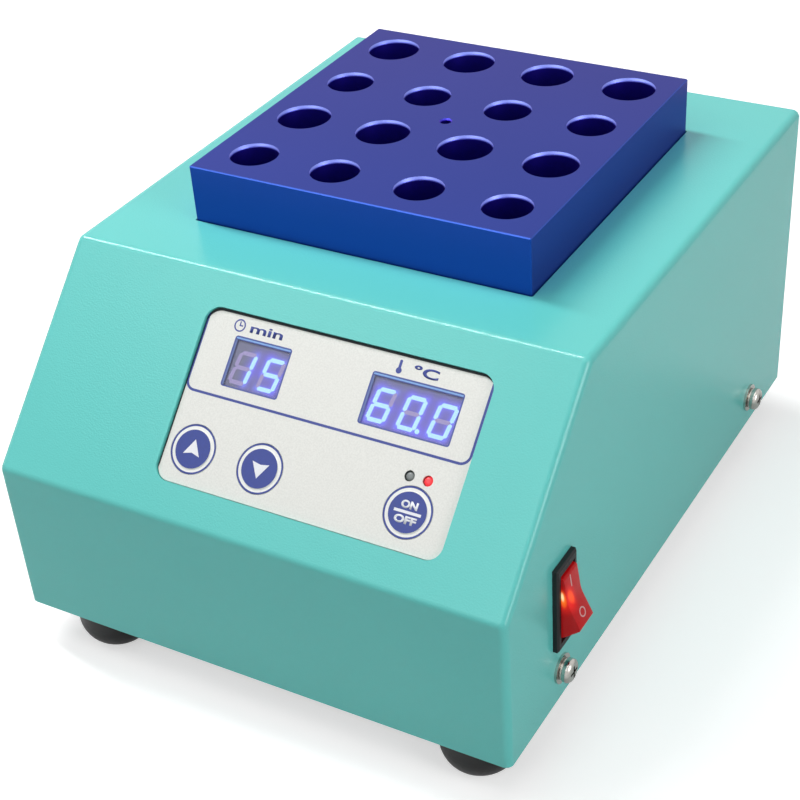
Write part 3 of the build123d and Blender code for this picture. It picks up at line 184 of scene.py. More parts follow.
COAT_CELL = 0.5 * MM  # spacing of the powder coat's fine bumps
COAT_RELIEF = 0.030 * MM

# Polyester powder coat on steel: opaque teal, satin, with a fine orange peel that breaks highlights
# into sparkles along the folds.
powder_coat, tree = new_material("Teal powder-coated steel")
place = object_space(tree)
peel = add_node(
    tree,
    "ShaderNodeTexVoronoi",
    {"Vector": place, "Scale": 1 / COAT_CELL, "Smoothness": 1.0},
    feature="SMOOTH_F1",
)
relief = worked(tree, "ADD", peel.outputs["Distance"], noise(tree, place, COAT_CELL, 3.0))
surfaced(
    tree,
    {
        "Base Color": mixed(tree, noise(tree, place, 60 * MM, 2.0), "#60c6c0", "#64cac4"),
        "Roughness": 0.22,
        "IOR": 1.5,
        "Specular IOR Level": 0.4,
        "Normal": bumped(tree, relief, COAT_RELIEF),
    },
)
dress(powder_coat, "rear_panel")

# ---- Mains inlet -------------------------------------------------------------------------------
# A three-pin appliance inlet with a fuse drawer below it, screwed into the rear panel.
# Housing and drawer are moulded glass-filled nylon; the pins are nickel-plated brass.

# Glass-filled nylon: black with a fine dull spark-eroded texture.
black_nylon = grained(
    "Black moulded nylon",
    ("#0a0b0d", "#141618"),
    0.7 * MM,
    (0.42, 0.58),
    0.012 * MM,
    **{"Specular IOR Level": 0.35},
)
dress(black_nylon, "mains_inlet", "fuse_drawer")

# Nickel plate: a warm grey mirror with faint draw marks.
nickel_plate = grained(
    "Nickel-plated brass", ("#b9b3a6", "#cbc6ba"), 0.8 * MM, (0.14, 0.24), 0.002 * MM, Metallic=1.0
)
dress(nickel_plate, "inlet_pins", "earth_stud", "power_spacers", "switch_terminals")

# Stainless steel, cold headed: bright, slightly brushed.
stainless = grained(
    "Stainless steel", ("#b8b4ad", "#d2cfc9"), 0.9 * MM, (0.18, 0.30), 0.003 * MM, Metallic=1.0
)
dress(stainless, "inlet_screws", "pillar_screws", "plate_screws", "temp_sensor")

# The fuse: a thin glass tube between plated end caps.
fuse_glass = grained("Fuse glass and caps", ("#b9c2c0", "#d6dcda"), 3 * MM, (0.06, 0.14), 0.001 * MM)
dress(fuse_glass, "fuse")

# ---- Power electronics -------------------------------------------------------------------------
# The mains side on the tray's floor: transformer, triac on its heat sink, capacitor, terminals.
# It is closed in by the cover, so each piece keeps its own plain shape.

# FR4 board: dark green solder mask over copper, which shows as a soft pattern of lighter tracks.
solder_mask = grained("Green solder mask", ("#0c4a2a", "#15603a"), 2.5 * MM, (0.22, 0.34), 0.01 * MM)
dress(solder_mask, "power_board", "display_board")
black_epoxy = grained("Black moulded epoxy", ("#121212", "#1c1c1c"), 0.6 * MM, (0.45, 0.60), 0.006 * MM)
dress(black_epoxy, "triac", "buzzer", "tact_switches")
for label, colours, grain, roughness, relief, node in (
    ("Varnished transformer steel", ("#4a3f2c", "#5d5038"), 0.8, (0.30, 0.50), 0.02, "transformer"),
    ("Black anodised aluminium", ("#141416", "#202022"), 1.0, (0.40, 0.55), 0.005, "triac_heatsink"),
    ("Blue shrink sleeve", ("#16224a", "#1c2b5c"), 4.0, (0.25, 0.35), 0.006, "capacitor"),
    ("Green moulded nylon", ("#1f7a3c", "#268a47"), 1.0, (0.35, 0.50), 0.008, "terminal_block"),
    ("Grey ribbon PVC", ("#8b8d8e", "#9b9d9e"), 1.3, (0.40, 0.50), 0.02, "display_ribbon"),
    ("White silicone insulation", ("#d2cec4", "#e2ded6"), 1.5, (0.45, 0.60), 0.01, "internal_leads"),
    ("Brown phenolic", ("#3b2a20", "#4b372b"), 0.8, (0.40, 0.55), 0.008, "thermal_cutout"),
):
    dress(grained(label, colours, grain * MM, roughness, relief * MM), node)

# ---- Heater --------------------------------------------------------------------------------------
# Under the block: a machined aluminium plate with a silicone heating mat glued below it, on a
# mineral board, with a fibre sleeve round the block, all in a sheet steel tray on four pillars.

CUTTER_PITCH = 0.4 * MM

# Machined aluminium: fine parallel cutter marks across the plate.
machined, tree = new_material("Machined aluminium")
marks = add_node(
    tree,
    "ShaderNodeTexWave",
    {
        "Vector": object_space(tree),
        "Scale": 1 / (2 * math.pi * CUTTER_PITCH),
        "Distortion": 1.5,
        "Detail": 2.0,
    },
    bands_direction="DIAGONAL",
)
surfaced(
    tree,
    {
        "Base Color": linear("#cdcfd2"),
        "Metallic": 1.0,
        "Roughness": 0.30,
        "Normal": bumped(tree, marks.outputs["Fac"], 0.006 * MM),
    },
)
dress(machined, "heat_plate")
for label, colours, grain, roughness, relief, node in (
    ("Primed aluminium sheet", ("#9fb5b2", "#a9bfbc"), 0.9, (0.55, 0.70), 0.008, "panel_bracket"),
    ("Orange silicone mat", ("#b5531f", "#c4622a"), 1.2, (0.50, 0.65), 0.03, "heater_mat"),
    ("Mineral board", ("#b9b4a7", "#d0ccc1"), 1.6, (0.80, 0.95), 0.08, "insulation_board"),
    ("White ceramic fibre", ("#d8d5cb", "#efede6"), 2.2, (0.85, 1.0), 0.25, "insulation_sleeve"),
):
    dress(grained(label, colours, grain * MM, roughness, relief * MM), node)

# ---- Heating block -----------------------------------------------------------------------------
# A solid aluminium block with sixteen drilled and reamed tube wells and a small tapped hole for
# its lifting tool, bead-blasted and anodised royal blue. It lies loose on the heated plate.

MOUTH_DEPTH = 1.4 * MM  # depth of the wells' lead-in
EDGE_DEPTH = 0.34 * MM  # depth of the bevel along the block's top edges
EDGE_LIFT = 0.01 * MM
EDGE_HIGHLIGHT = 0.12  # how much of the painted highlight's pale tone the bevel along the top edges takes
ROUND_OVER = 0.7  # how far the normals lean upwards under the painted highlight
BORDER = 2 * MM  # plain metal outside the wells, up to the block's sides
LIFTING_ZONE = 4 * MM  # round the lifting hole, which has no burnished mouth
block_low, block_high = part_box("heating_block")
block_top = block_high.z
block_middle = (block_low + block_high) / 2
block_reach = (block_high.x - block_low.x) / 2

# Anodised aluminium: the dyed oxide tints the metal's own reflection deep blue, and the sealed
# oxide adds a thin pale sheen. Fine blasted grain, drawn about 0.35 mm wide. The lead-ins and the
# bevels carry a painted highlight, a much paler tone with normals leaned upwards, a lilac line round
# each mouth; the flanks carry a painted reflection, a clearer blue, and the drilled walls are a deep
# violet.
anodised, tree = new_material("Blue anodised aluminium")
place = object_space(tree)
height = add_node(tree, "ShaderNodeSeparateXYZ", {"Vector": place}).outputs["Z"]
offset = add_node(tree, "ShaderNodeVectorMath", {0: place, 1: block_middle}, operation="SUBTRACT")
offset = add_node(tree, "ShaderNodeVectorMath", {0: offset.outputs["Vector"]}, operation="ABSOLUTE")
offset = add_node(tree, "ShaderNodeSeparateXYZ", {"Vector": offset.outputs["Vector"]}).outputs
outward = worked(tree, "MAXIMUM", offset["X"], offset["Y"])
inside = worked(tree, "LESS_THAN", outward, block_reach - BORDER)
below_top = worked(tree, "LESS_THAN", height, block_top - EDGE_LIFT)
walls = worked(tree, "MULTIPLY", inside, below_top)
flank = worked(tree, "GREATER_THAN", outward, block_reach - EDGE_DEPTH / 2)
mouth_span = {"From Min": block_top - 1.1 * MOUTH_DEPTH, "From Max": block_top - 0.5 * MOUTH_DEPTH}
mouth = add_node(tree, "ShaderNodeMapRange", {"Value": height, **mouth_span}).outputs["Result"]
mouth = worked(tree, "MULTIPLY", mouth, inside)
mouth = worked(tree, "MULTIPLY", mouth, worked(tree, "GREATER_THAN", outward, LIFTING_ZONE))
edge = worked(tree, "GREATER_THAN", height, block_top - EDGE_DEPTH)
edge = worked(tree, "MULTIPLY", edge, EDGE_HIGHLIGHT)
painted_highlight = worked(tree, "MULTIPLY", worked(tree, "MAXIMUM", mouth, edge), below_top)
blasted = bumped(tree, noise(tree, place, 0.35 * MM, 2.0), 0.004 * MM)
upward = add_node(tree, "ShaderNodeCombineXYZ", {"Z": worked(tree, "MULTIPLY", painted_highlight, ROUND_OVER)})
highlight_normal = add_node(tree, "ShaderNodeVectorMath", {0: blasted, 1: upward.outputs[0]}, operation="ADD")
highlight_normal = add_node(tree, "ShaderNodeVectorMath", {0: highlight_normal.outputs["Vector"]}, operation="NORMALIZE")
tone = mixed(tree, noise(tree, place, 45 * MM, 1.0), "#173f8e", "#1a4295")
# Painted reflection: the flanks a clearer, lighter blue than the top, for the teal cover they reflect.
tone = mixed(tree, flank, tone, "#1848a4")
tone = mixed(tree, walls, tone, "#2c1fa6")
# Painted highlight: a pale lilac on the wells' mouths and along the top edges.
tone = mixed(tree, painted_highlight, tone, "#7c88d8")
surfaced(
    tree,
    {
        "Base Color": tone,
        "Metallic": 1.0,
        "Roughness": 0.42,
        "Specular Tint": linear("#ffd3da"),
        "Coat Weight": 0.08,
        "Coat Roughness": 0.3,
        "Coat IOR": 1.6,
        "Normal": highlight_normal.outputs["Vector"],
    },
)
dress(anodised, "heating_block")

# ---- Cover -------------------------------------------------------------------------------------
# One steel sheet, 1.5 mm thick, folded over the front, slope and top with welded flanks, and
# powder-coated. It drops over the tray and is held by four screws low on its flanks.

dress(powder_coat, "cover")

# ---- Control panel -----------------------------------------------------------------------------
# A printed polycarbonate overlay, silver with blue artwork, on an aluminium bracket that is
# bolted behind the cover's cut-out.

key_axis = Vector(next(joint["axis"] for joint in frame["joints"] if joint["name"] == "up_key_press"))
panel_out = -key_axis.normalized()
panel_right = Vector((1, 0, 0))
panel_up = panel_out.cross(panel_right)
overlay_low, overlay_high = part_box("panel_overlay")
overlay_half = 0.25 * MM
panel_middle = (overlay_low + overlay_high) / 2 + panel_out * overlay_half
PRINT_T = 0.03 * MM
PRINT_LIFT = 0.005 * MM
PRINT_MIDDLE = PRINT_LIFT + PRINT_T / 2


def on_panel(x, y, out):
    """Placement on the overlay's face: x right and y upslope from its middle, out of the face."""
    spot = panel_middle + panel_right * x * MM + panel_up * y * MM + panel_out * out
    turn = Matrix((panel_right, panel_up, panel_out)).transposed()
    return Matrix.Translation(spot) @ turn.to_4x4()


def solid_from_curve(name, curve, place, material):
    """Turn a flat filled curve or text into a mesh piece at its place."""
    drawn = placed(name, curve)
    mesh = plain_mesh(drawn)
    bpy.data.objects.remove(drawn)
    bpy.data.curves.remove(curve)
    mesh.name = name
    mesh.transform(place)
    mesh.materials.clear()
    mesh.materials.append(material)
    return placed(name, mesh)


def printed_shape(name, loops, place, material, thickness=PRINT_T):
    """Thin print from closed outlines in millimetres; an outline inside another is a hole."""
    curve = bpy.data.curves.new(name, "CURVE")
    curve.dimensions = "2D"
    curve.fill_mode = "BOTH"
    curve.extrude = thickness / 2
    for loop in loops:
        spline = curve.splines.new("POLY")
        spline.points.add(len(loop) - 1)
        for point, (x, y) in zip(spline.points, loop):
            point.co = (x * MM, y * MM, 0, 1)
        spline.use_cyclic_u = True
    return solid_from_curve(name, curve, place, material)


def printed_text(name, words, size, place, material, weight=0.0):
    """Thin printed lettering, scaled to a width and height in millimetres about its middle."""
    curve = bpy.data.curves.new(name, "FONT")
    curve.body = words
    curve.size = 1.0
    curve.offset = weight
    curve.resolution_u = 6
    drawn = solid_from_curve(name, curve, Matrix.Identity(4), material)
    xs = [vertex.co.x for vertex in drawn.data.vertices]
    ys = [vertex.co.y for vertex in drawn.data.vertices]
    scale_x = size[0] * MM / (max(xs) - min(xs))
    scale_y = size[1] * MM / (max(ys) - min(ys))
    for vertex in drawn.data.vertices:
        vertex.co.x = (vertex.co.x - (max(xs) + min(xs)) / 2) * scale_x
        vertex.co.y = (vertex.co.y - (max(ys) + min(ys)) / 2) * scale_y
    body = bmesh.new()
    body.from_mesh(drawn.data)
    raised = bmesh.ops.extrude_face_region(body, geom=body.faces[:])
    lifted = [item for item in raised["geom"] if isinstance(item, bmesh.types.BMVert)]
    bmesh.ops.translate(body, verts=lifted, vec=(0, 0, PRINT_T))
    bmesh.ops.recalc_face_normals(body, faces=body.faces)
    body.to_mesh(drawn.data)
    body.free()
    drawn.data.transform(place)
    return drawn


def arc(centre, radius, start, end, steps):
    """Points on an arc, angles in degrees."""
    return [
        (
            centre[0] + radius * math.cos(math.radians(start + (end - start) * step / steps)),
            centre[1] + radius * math.sin(math.radians(start + (end - start) * step / steps)),
        )
        for step in range(steps + 1)
    ]


def ring(centre, outer, inner):
    """Outlines of a ring."""
    return [arc(centre, outer, 0, 360, 96)[:-1], arc(centre, inner, 0, 360, 96)[:-1]]


def rounded(centre, width, height, radius):
    """Outline of a rounded rectangle."""
    x, y = width / 2 - radius, height / 2 - radius
    corners = ((x, y, 0), (-x, y, 90), (-x, -y, 180), (x, -y, 270))
    return [
        point
        for dx, dy, start in corners
        for point in arc((centre[0] + dx, centre[1] + dy), radius, start, start + 90, 8)
    ]


# Screen-printed polycarbonate: silver-grey with a very fine metallic speckle under a matt skin.
overlay_film, tree = new_material("Silver printed polycarbonate")
place = object_space(tree)
speckle = noise(tree, place, 0.5 * MM, 3.0)
fleck = add_node(tree, "ShaderNodeMapRange", {"Value": speckle, "From Min": 0.35, "From Max": 0.65})
surfaced(
    tree,
    {
        "Base Color": mixed(tree, fleck.outputs["Result"], "#d9dad5", "#e2e3de"),
        "Roughness": 0.42,
        "IOR": 1.58,
        "Normal": bumped(tree, speckle, 0.006 * MM),
    },
)
dress(overlay_film, "panel_overlay")

# Blue screen ink, under the same matt skin.
blue_ink = grained("Blue screen ink", ("#2b3a86", "#344492"), 0.6 * MM, (0.38, 0.48), 0.004 * MM)

# A line frames the displays: down the left side, along below them and up the right side.
on_face = on_panel(0, 0, PRINT_MIDDLE)
line_w = 0.8
left, right, bottom = -48.9, 48.75, 1.2
corner = 3.0
top_left, top_right = 25.6, 26.0
low_left = (left + corner, bottom + corner)
low_right = (right - corner, bottom + corner)
outside = (
    [(left - line_w / 2, top_left)]
    + arc(low_left, corner + line_w / 2, 180, 270, 12)
    + arc(low_right, corner + line_w / 2, 270, 360, 12)
    + [(right + line_w / 2, top_right)]
)
inside = (
    [(right - line_w / 2, top_right)]
    + arc(low_right, corner - line_w / 2, 360, 270, 12)
    + arc(low_left, corner - line_w / 2, 270, 180, 12)
    + [(left - line_w / 2 + line_w, top_left)]
)
frame_line = printed_shape("frame_line", [outside + inside], on_face, blue_ink)
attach(frame_line, "case")

# The overlay sits low in the cut-out; a painted shadow, a black band printed on it, lies along its top and
# left edges.
cut_out_shadow_ink = grained("Black print of painted shadow", ("#061013", "#0c1a1e"), 0.5 * MM, (0.7, 0.9), 0.02 * MM)
half_w = (overlay_high.x - overlay_low.x) / 2 / MM
half_h = (overlay_high - overlay_low).dot(panel_up) / 2 / MM
shadow_corner_r = 4.7
shadow_top, shadow_left = 0.8, 0.4
outside, inside = [], []
for centre, start, end in (
    ((shadow_corner_r - half_w, shadow_corner_r - half_h), 205, 180),
    ((shadow_corner_r - half_w, half_h - shadow_corner_r), 180, 90),
    ((half_w - shadow_corner_r, half_h - shadow_corner_r), 90, 27),
):
    for x, y in arc(centre, shadow_corner_r, start, end, 12):
        nx, ny = (x - centre[0]) / shadow_corner_r, (y - centre[1]) / shadow_corner_r
        wide = max(shadow_top * ny - shadow_left * nx, 0.0)
        outside.append((x, y))
        inside.append((x - nx * wide, y - ny * wide))
cut_out_shadow = printed_shape("overlay_painted_shadow", [outside + inside[::-1]], on_face, cut_out_shadow_ink)
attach(cut_out_shadow, "case")

# Legends above the displays: a clock face with "min", and a thermometer with the degree sign.
LEGEND_Y = 23.9
clock_hands = [(-0.2, -0.2), (1.1, -0.2), (1.1, 0.2), (0.2, 0.2), (0.2, 1.3), (-0.2, 1.3)]
clock_face = ring((0, 0), 2.0, 1.55) + [clock_hands]
bulb = arc((0, -1.25), 0.95, 118, 422, 24)
tube = arc((0, 1.6), 0.45, 0, 180, 10)
clock = printed_shape("legend_clock", clock_face, on_panel(-37.3, LEGEND_Y, PRINT_MIDDLE), blue_ink)
minutes = printed_text(
    "legend_minutes", "min", (11.6, 2.7), on_panel(-27.6, LEGEND_Y, PRINT_LIFT), blue_ink, 0.02
)
thermometer = printed_shape(
    "legend_thermometer", [bulb + tube], on_panel(18.6, LEGEND_Y, PRINT_MIDDLE), blue_ink
)
degrees = printed_text(
    "legend_degrees", "°C", (8.4, 3.2), on_panel(27.4, LEGEND_Y, PRINT_LIFT), blue_ink, 0.03
)
for piece in (clock, minutes, thermometer, degrees):
    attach(piece, "case")

# ---- Displays ----------------------------------------------------------------------------------
# Two blue seven-segment LED modules, two and three digits, behind clear windows in the overlay.
# The face is grey epoxy; lit segments glow through it, and the others show as pale ghosts.

WINDOW_H = 16.1
DIGIT_H = 9.3  # between the middles of the top and bottom strokes
DIGIT_W = 5.3
STROKE = 1.3
SLANT = math.tan(math.radians(8))
DIGIT_Y = 11.5
DOT_R = 0.75
STROKE_GAP = 0.2  # a stroke ends this much short of the corner
STROKE_T = 0.04 * MM
GLOW_REACH = 1.6
GLOW_SHARE = 0.5
HALO_REACH = 0.8
HALO_SHARE = 0.9
GLOW_CELLS = 4  # face cells per millimetre that carry the glow
WINDOW_T = 0.12 * MM
WINDOW_SINK = 0.02 * MM
FACE_DEPTH = 0.45 * MM
SEGMENTS = {
    "top": (0, 1, False),
    "upper_right": (1, 0.5, True),
    "lower_right": (1, -0.5, True),
    "bottom": (0, -1, False),
    "lower_left": (-1, -0.5, True),
    "upper_left": (-1, 0.5, True),
    "middle": (0, 0, False),
}
LIT = {
    "1": ("upper_right", "lower_right"),
    "5": ("top", "upper_left", "middle", "lower_right", "bottom"),
    "6": ("top", "upper_left", "middle", "lower_right", "bottom", "lower_left"),
    "0": ("top", "upper_right", "lower_right", "bottom", "lower_left", "upper_left"),
}

# Lit epoxy: pale cyan-blue, a little uneven along each stroke.
lit_segment, tree = new_material("Lit blue LED segment")
surfaced(
    tree,
    {
        "Base Color": linear("#5f8fd0"),
        "Roughness": 0.4,
        "Emission Color": mixed(tree, noise(tree, object_space(tree), 0.8 * MM, 1.0), "#a2d0ff", "#cceaff"),
        "Emission Strength": 0.8,
    },
)
# Unlit segments: pale ghosts with a faint painted violet glow, though they are not lit.
ghost_segment = grained(
    "Unlit LED segment",
    ("#9088ac", "#9c93b6"),
    1.0 * MM,
    (0.4, 0.5),
    0.004 * MM,
    **{"Emission Color": linear("#4c3c78"), "Emission Strength": 0.5},
)

# Grey-violet epoxy: "glow" is the light spread far round the lit strokes, "halo" the light close
# beside them.
display_face, tree = new_material("Display epoxy")
glow = add_node(tree, "ShaderNodeAttribute", attribute_name="glow").outputs["Fac"]
halo = add_node(tree, "ShaderNodeAttribute", attribute_name="halo").outputs["Fac"]
surfaced(
    tree,
    {
        "Base Color": mixed(tree, glow, "#62647e", "#5c50a8"),
        "Roughness": 0.35,
        "Emission Color": mixed(tree, halo, mixed(tree, glow, "#000000", "#3c2cb4"), "#5f78f4"),
        "Emission Strength": 0.7,
    },
)

# Clear polycarbonate: smooth, with the least haze and a faint violet tint.
window_film, tree = new_material("Clear polycarbonate window")
haze = noise(tree, object_space(tree), 3 * MM, 1.0)
haze = add_node(tree, "ShaderNodeMapRange", {"Value": haze, "To Min": 0.08, "To Max": 0.16})
surfaced(
    tree,
    {
        "Base Color": linear("#a4a8d0"),
        "Roughness": haze.outputs["Result"],
        "Alpha": 0.06,
        "IOR": 1.58,
    },
)
edge_ink = grained("Dark blue window edge", ("#33448c", "#3d4f9a"), 0.6 * MM, (0.35, 0.45), 0.004 * MM)
edge_light = grained("Window edge catching light", ("#6c96d2", "#82abe0"), 0.8 * MM, (0.3, 0.4), 0.004 * MM)
edge_side = grained("Shaded window edge", ("#53659c", "#5f72a8"), 0.8 * MM, (0.3, 0.4), 0.004 * MM)

def geometry_tree(name, numbers):
    """A geometry node tree with named numbers and a material to fill in, and its inputs."""
    tree = bpy.data.node_groups.new(name, "GeometryNodeTree")
    tree.interface.new_socket("Geometry", in_out="INPUT", socket_type="NodeSocketGeometry")
    for label in numbers:
        tree.interface.new_socket(label, in_out="INPUT", socket_type="NodeSocketFloat")
    tree.interface.new_socket("Finish", in_out="INPUT", socket_type="NodeSocketMaterial")
    tree.interface.new_socket("Geometry", in_out="OUTPUT", socket_type="NodeSocketGeometry")
    return tree, add_node(tree, "NodeGroupInput").outputs


def end_tree(tree, geometry, finish):
    """End a geometry tree by giving its mesh a material."""
    painted = add_node(tree, "GeometryNodeSetMaterial", {"Geometry": geometry, "Material": finish})
    add_node(tree, "NodeGroupOutput", {"Geometry": painted.outputs["Geometry"]})


# Strokes: a flat six-sided bar on every point, in one of two lengths, then all slanted together.
stroke_tree, given = geometry_tree(
    "display_strokes",
    ("Stroke Width", "Stroke Depth", "Level Length", "Upright Length", "Slant", "Slant From"),
)
upright = add_node(stroke_tree, "GeometryNodeInputNamedAttribute", {"Name": "upright"}, data_type="BOOLEAN")
upright = upright.outputs["Attribute"]
level = add_node(stroke_tree, "FunctionNodeBooleanMath", {0: upright}, operation="NOT").outputs[0]
# A hexagon's corners lie this far out when the stroke is as wide as its flats.
radius = worked(stroke_tree, "MULTIPLY", given["Stroke Width"], 3 ** -0.5)
blank = add_node(
    stroke_tree,
    "GeometryNodeMeshCylinder",
    {"Vertices": 6, "Radius": radius, "Depth": given["Stroke Depth"]},
)
corner_spot = add_node(stroke_tree, "GeometryNodeInputPosition").outputs["Position"]
corner_spot = add_node(stroke_tree, "ShaderNodeSeparateXYZ", {0: corner_spot}).outputs
corner_side = add_node(stroke_tree, "ShaderNodeMath", {0: corner_spot["X"]}, operation="SIGN").outputs[0]
all_bars = add_node(stroke_tree, "GeometryNodeJoinGeometry")
for label, chosen, quarter in (("Level Length", level, 0.0), ("Upright Length", upright, math.pi / 2)):
    reach = worked(stroke_tree, "MULTIPLY", given[label], 0.5)
    reach = worked(stroke_tree, "SUBTRACT", reach, radius)
    offset = worked(stroke_tree, "MULTIPLY", corner_side, reach)
    offset = add_node(stroke_tree, "ShaderNodeCombineXYZ", {"X": offset}).outputs[0]
    bar = add_node(
        stroke_tree, "GeometryNodeSetPosition", {"Geometry": blank.outputs["Mesh"], "Offset": offset}
    )
    bars = add_node(
        stroke_tree,
        "GeometryNodeInstanceOnPoints",
        {
            "Points": given["Geometry"],
            "Selection": chosen,
            "Instance": bar.outputs["Geometry"],
            "Rotation": (0.0, 0.0, quarter),
        },
    )
    stroke_tree.links.new(bars.outputs["Instances"], all_bars.inputs["Geometry"])
loose = add_node(stroke_tree, "GeometryNodeRealizeInstances", {"Geometry": all_bars.outputs["Geometry"]})
lean = worked(stroke_tree, "SUBTRACT", corner_spot["Y"], given["Slant From"])
lean = worked(stroke_tree, "MULTIPLY", lean, given["Slant"])
lean = add_node(stroke_tree, "ShaderNodeCombineXYZ", {"X": lean}).outputs[0]
slanted = add_node(
    stroke_tree, "GeometryNodeSetPosition", {"Geometry": loose.outputs["Geometry"], "Offset": lean}
)
end_tree(stroke_tree, slanted.outputs["Geometry"], given["Finish"])


def grown(name, start, maker_tree, settings, place):
    """Run a geometry tree on a start mesh and keep the result as a plain mesh at its place."""
    piece = placed(name, start)
    maker = piece.modifiers.new("maker", "NODES")
    maker.node_group = maker_tree
    for item in maker_tree.interface.items_tree:
        if item.in_out == "INPUT" and item.name in settings:
            maker[item.identifier] = settings[item.name]
    mesh = plain_mesh(piece)
    piece.modifiers.remove(maker)
    piece.data = mesh
    mesh.name = name
    mesh.transform(place)
    return piece


def panel_spot(node):
    """A flat node's middle in panel millimetres, and its width."""
    node_low, node_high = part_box(node)
    spot = ((node_low + node_high) / 2 - panel_middle) / MM
    return spot.dot(panel_right), spot.dot(panel_up), (node_high.x - node_low.x) / MM


displays = (
    ("time", ((-31.85, "1"), (-21.85, "5")), ()),
    ("temp", ((16.55, "6"), (26.65, "0"), (36.8, "0")), (30.0,)),
)
for name, digits, dots in displays:
    window_x, window_y, window_w = panel_spot(f"{name}_window")
    strokes = []
    for digit_x, value in digits:
        for part, (side, rise, stands) in SEGMENTS.items():
            strokes.append(
                (digit_x + side * DIGIT_W / 2, DIGIT_Y + rise * DIGIT_H / 2, stands, part in LIT[value])
            )
    for shines, finish in ((True, lit_segment), (False, ghost_segment)):
        word = "lit" if shines else "unlit"
        chosen = [stroke for stroke in strokes if stroke[3] == shines]
        points = bpy.data.meshes.new("stroke_points")
        points.from_pydata([(x * MM, y * MM, 0) for x, y, _, _ in chosen], [], [])
        stands_flags = points.attributes.new("upright", "BOOLEAN", "POINT")
        stands_flags.data.foreach_set("value", [stands for _, _, stands, _ in chosen])
        settings = {
            "Stroke Width": STROKE * MM,
            "Stroke Depth": STROKE_T,
            "Level Length": (DIGIT_W - STROKE_GAP) * MM,
            "Upright Length": (DIGIT_H / 2 - STROKE_GAP) * MM,
            "Slant": SLANT,
            "Slant From": DIGIT_Y * MM,
            "Finish": finish,
        }
        on_epoxy = on_panel(0, 0, -FACE_DEPTH)
        segments = grown(f"{name}_{word}_segments", points, stroke_tree, settings, on_epoxy)
        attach(segments, "case")
    for dot_x in dots:
        dot_y = DIGIT_Y - DIGIT_H / 2
        outline = arc((dot_x, dot_y), DOT_R, 0, 360, 24)[:-1]
        dot = printed_shape(f"{name}_lit_dot", [outline], on_panel(0, 0, -FACE_DEPTH), lit_segment)
        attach(dot, "case")
        strokes.append((dot_x, dot_y, None, True))

    body = bmesh.new()
    glow_layer = body.verts.layers.float.new("glow")
    halo_layer = body.verts.layers.float.new("halo")
    columns, rows = int(window_w * GLOW_CELLS), int(WINDOW_H * GLOW_CELLS)
    for row in range(rows + 1):
        for column in range(columns + 1):
            x = window_x + window_w * (column / columns - 0.5)
            y = window_y + WINDOW_H * (row / rows - 0.5)
            far, near = 0.0, 0.0
            for stroke_x, stroke_y, stands, shines in strokes:
                if not shines:
                    continue
                across = x - stroke_x - (0 if stands is None else (y - DIGIT_Y) * SLANT)
                along = y - stroke_y
                if stands is False:
                    across, along = along, across
                half = 0.0 if stands is None else (DIGIT_H / 4 if stands else DIGIT_W / 2)
                apart = math.hypot(across, max(abs(along) - half, 0))
                far += math.exp(-((apart / GLOW_REACH) ** 2) / 2)
                near = max(near, math.exp(-((apart / HALO_REACH) ** 2) / 2))
            vertex = body.verts.new(on_panel(x, y, -FACE_DEPTH).translation)
            vertex[glow_layer] = min(far * GLOW_SHARE, 1.0)
            vertex[halo_layer] = near * HALO_SHARE
    body.verts.ensure_lookup_table()
    for row in range(rows):
        for column in range(columns):
            first = row * (columns + 1) + column
            corners = (first, first + 1, first + columns + 2, first + columns + 1)
            body.faces.new([body.verts[corner] for corner in corners])
    sunk = bmesh.ops.extrude_face_region(body, geom=body.faces[:])
    sunk = [item for item in sunk["geom"] if isinstance(item, bmesh.types.BMVert)]
    bmesh.ops.translate(body, verts=sunk, vec=-panel_out * STROKE_T)
    bmesh.ops.recalc_face_normals(body, faces=body.faces)
    mesh = bpy.data.meshes.new(f"{name}_display_face")
    body.to_mesh(mesh)
    body.free()
    mesh.materials.append(display_face)
    face = placed(f"{name}_display_face", mesh)
    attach(face, "case")
    dress(black_epoxy, f"{name}_display")

    # The window, and its edge in three tones: the border, the lit upper edge and the shaded side.
    outline = rounded((window_x, window_y), window_w, WINDOW_H, 0.9)
    inner = rounded((window_x, window_y), window_w - 0.8, WINDOW_H - 0.8, 0.6)
    upper = window_y + WINDOW_H / 2
    side_x = window_x - window_w / 2 + 0.75
    sunk_place = on_panel(0, 0, -WINDOW_T / 2 - WINDOW_SINK)
    window = printed_shape(f"{name}_clear_window", [outline], sunk_place, window_film, WINDOW_T)
    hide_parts(f"{name}_window")
    pieces = [window]
    for part, loops, ink in (
        ("border", [outline, inner], edge_ink),
        ("light", [rounded((window_x, upper - 0.7), window_w - 0.9, 0.5, 0.2)], edge_light),
        ("line", [rounded((window_x, upper - 1.1), window_w - 0.9, 0.26, 0.1)], edge_ink),
        ("side", [rounded((side_x, window_y - 0.35), 0.6, WINDOW_H - 1.8, 0.2)], edge_side),
    ):
        pieces.append(printed_shape(f"{name}_window_{part}", loops, on_face, ink))
    for piece in pieces:
        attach(piece, "case")

# ---- Keys and indicator lamps ------------------------------------------------------------------
# Three round keys of embossed film over tact switches, printed blue inside a pale ring, and two
# 3 mm LEDs, one grey and unlit, one lit red.

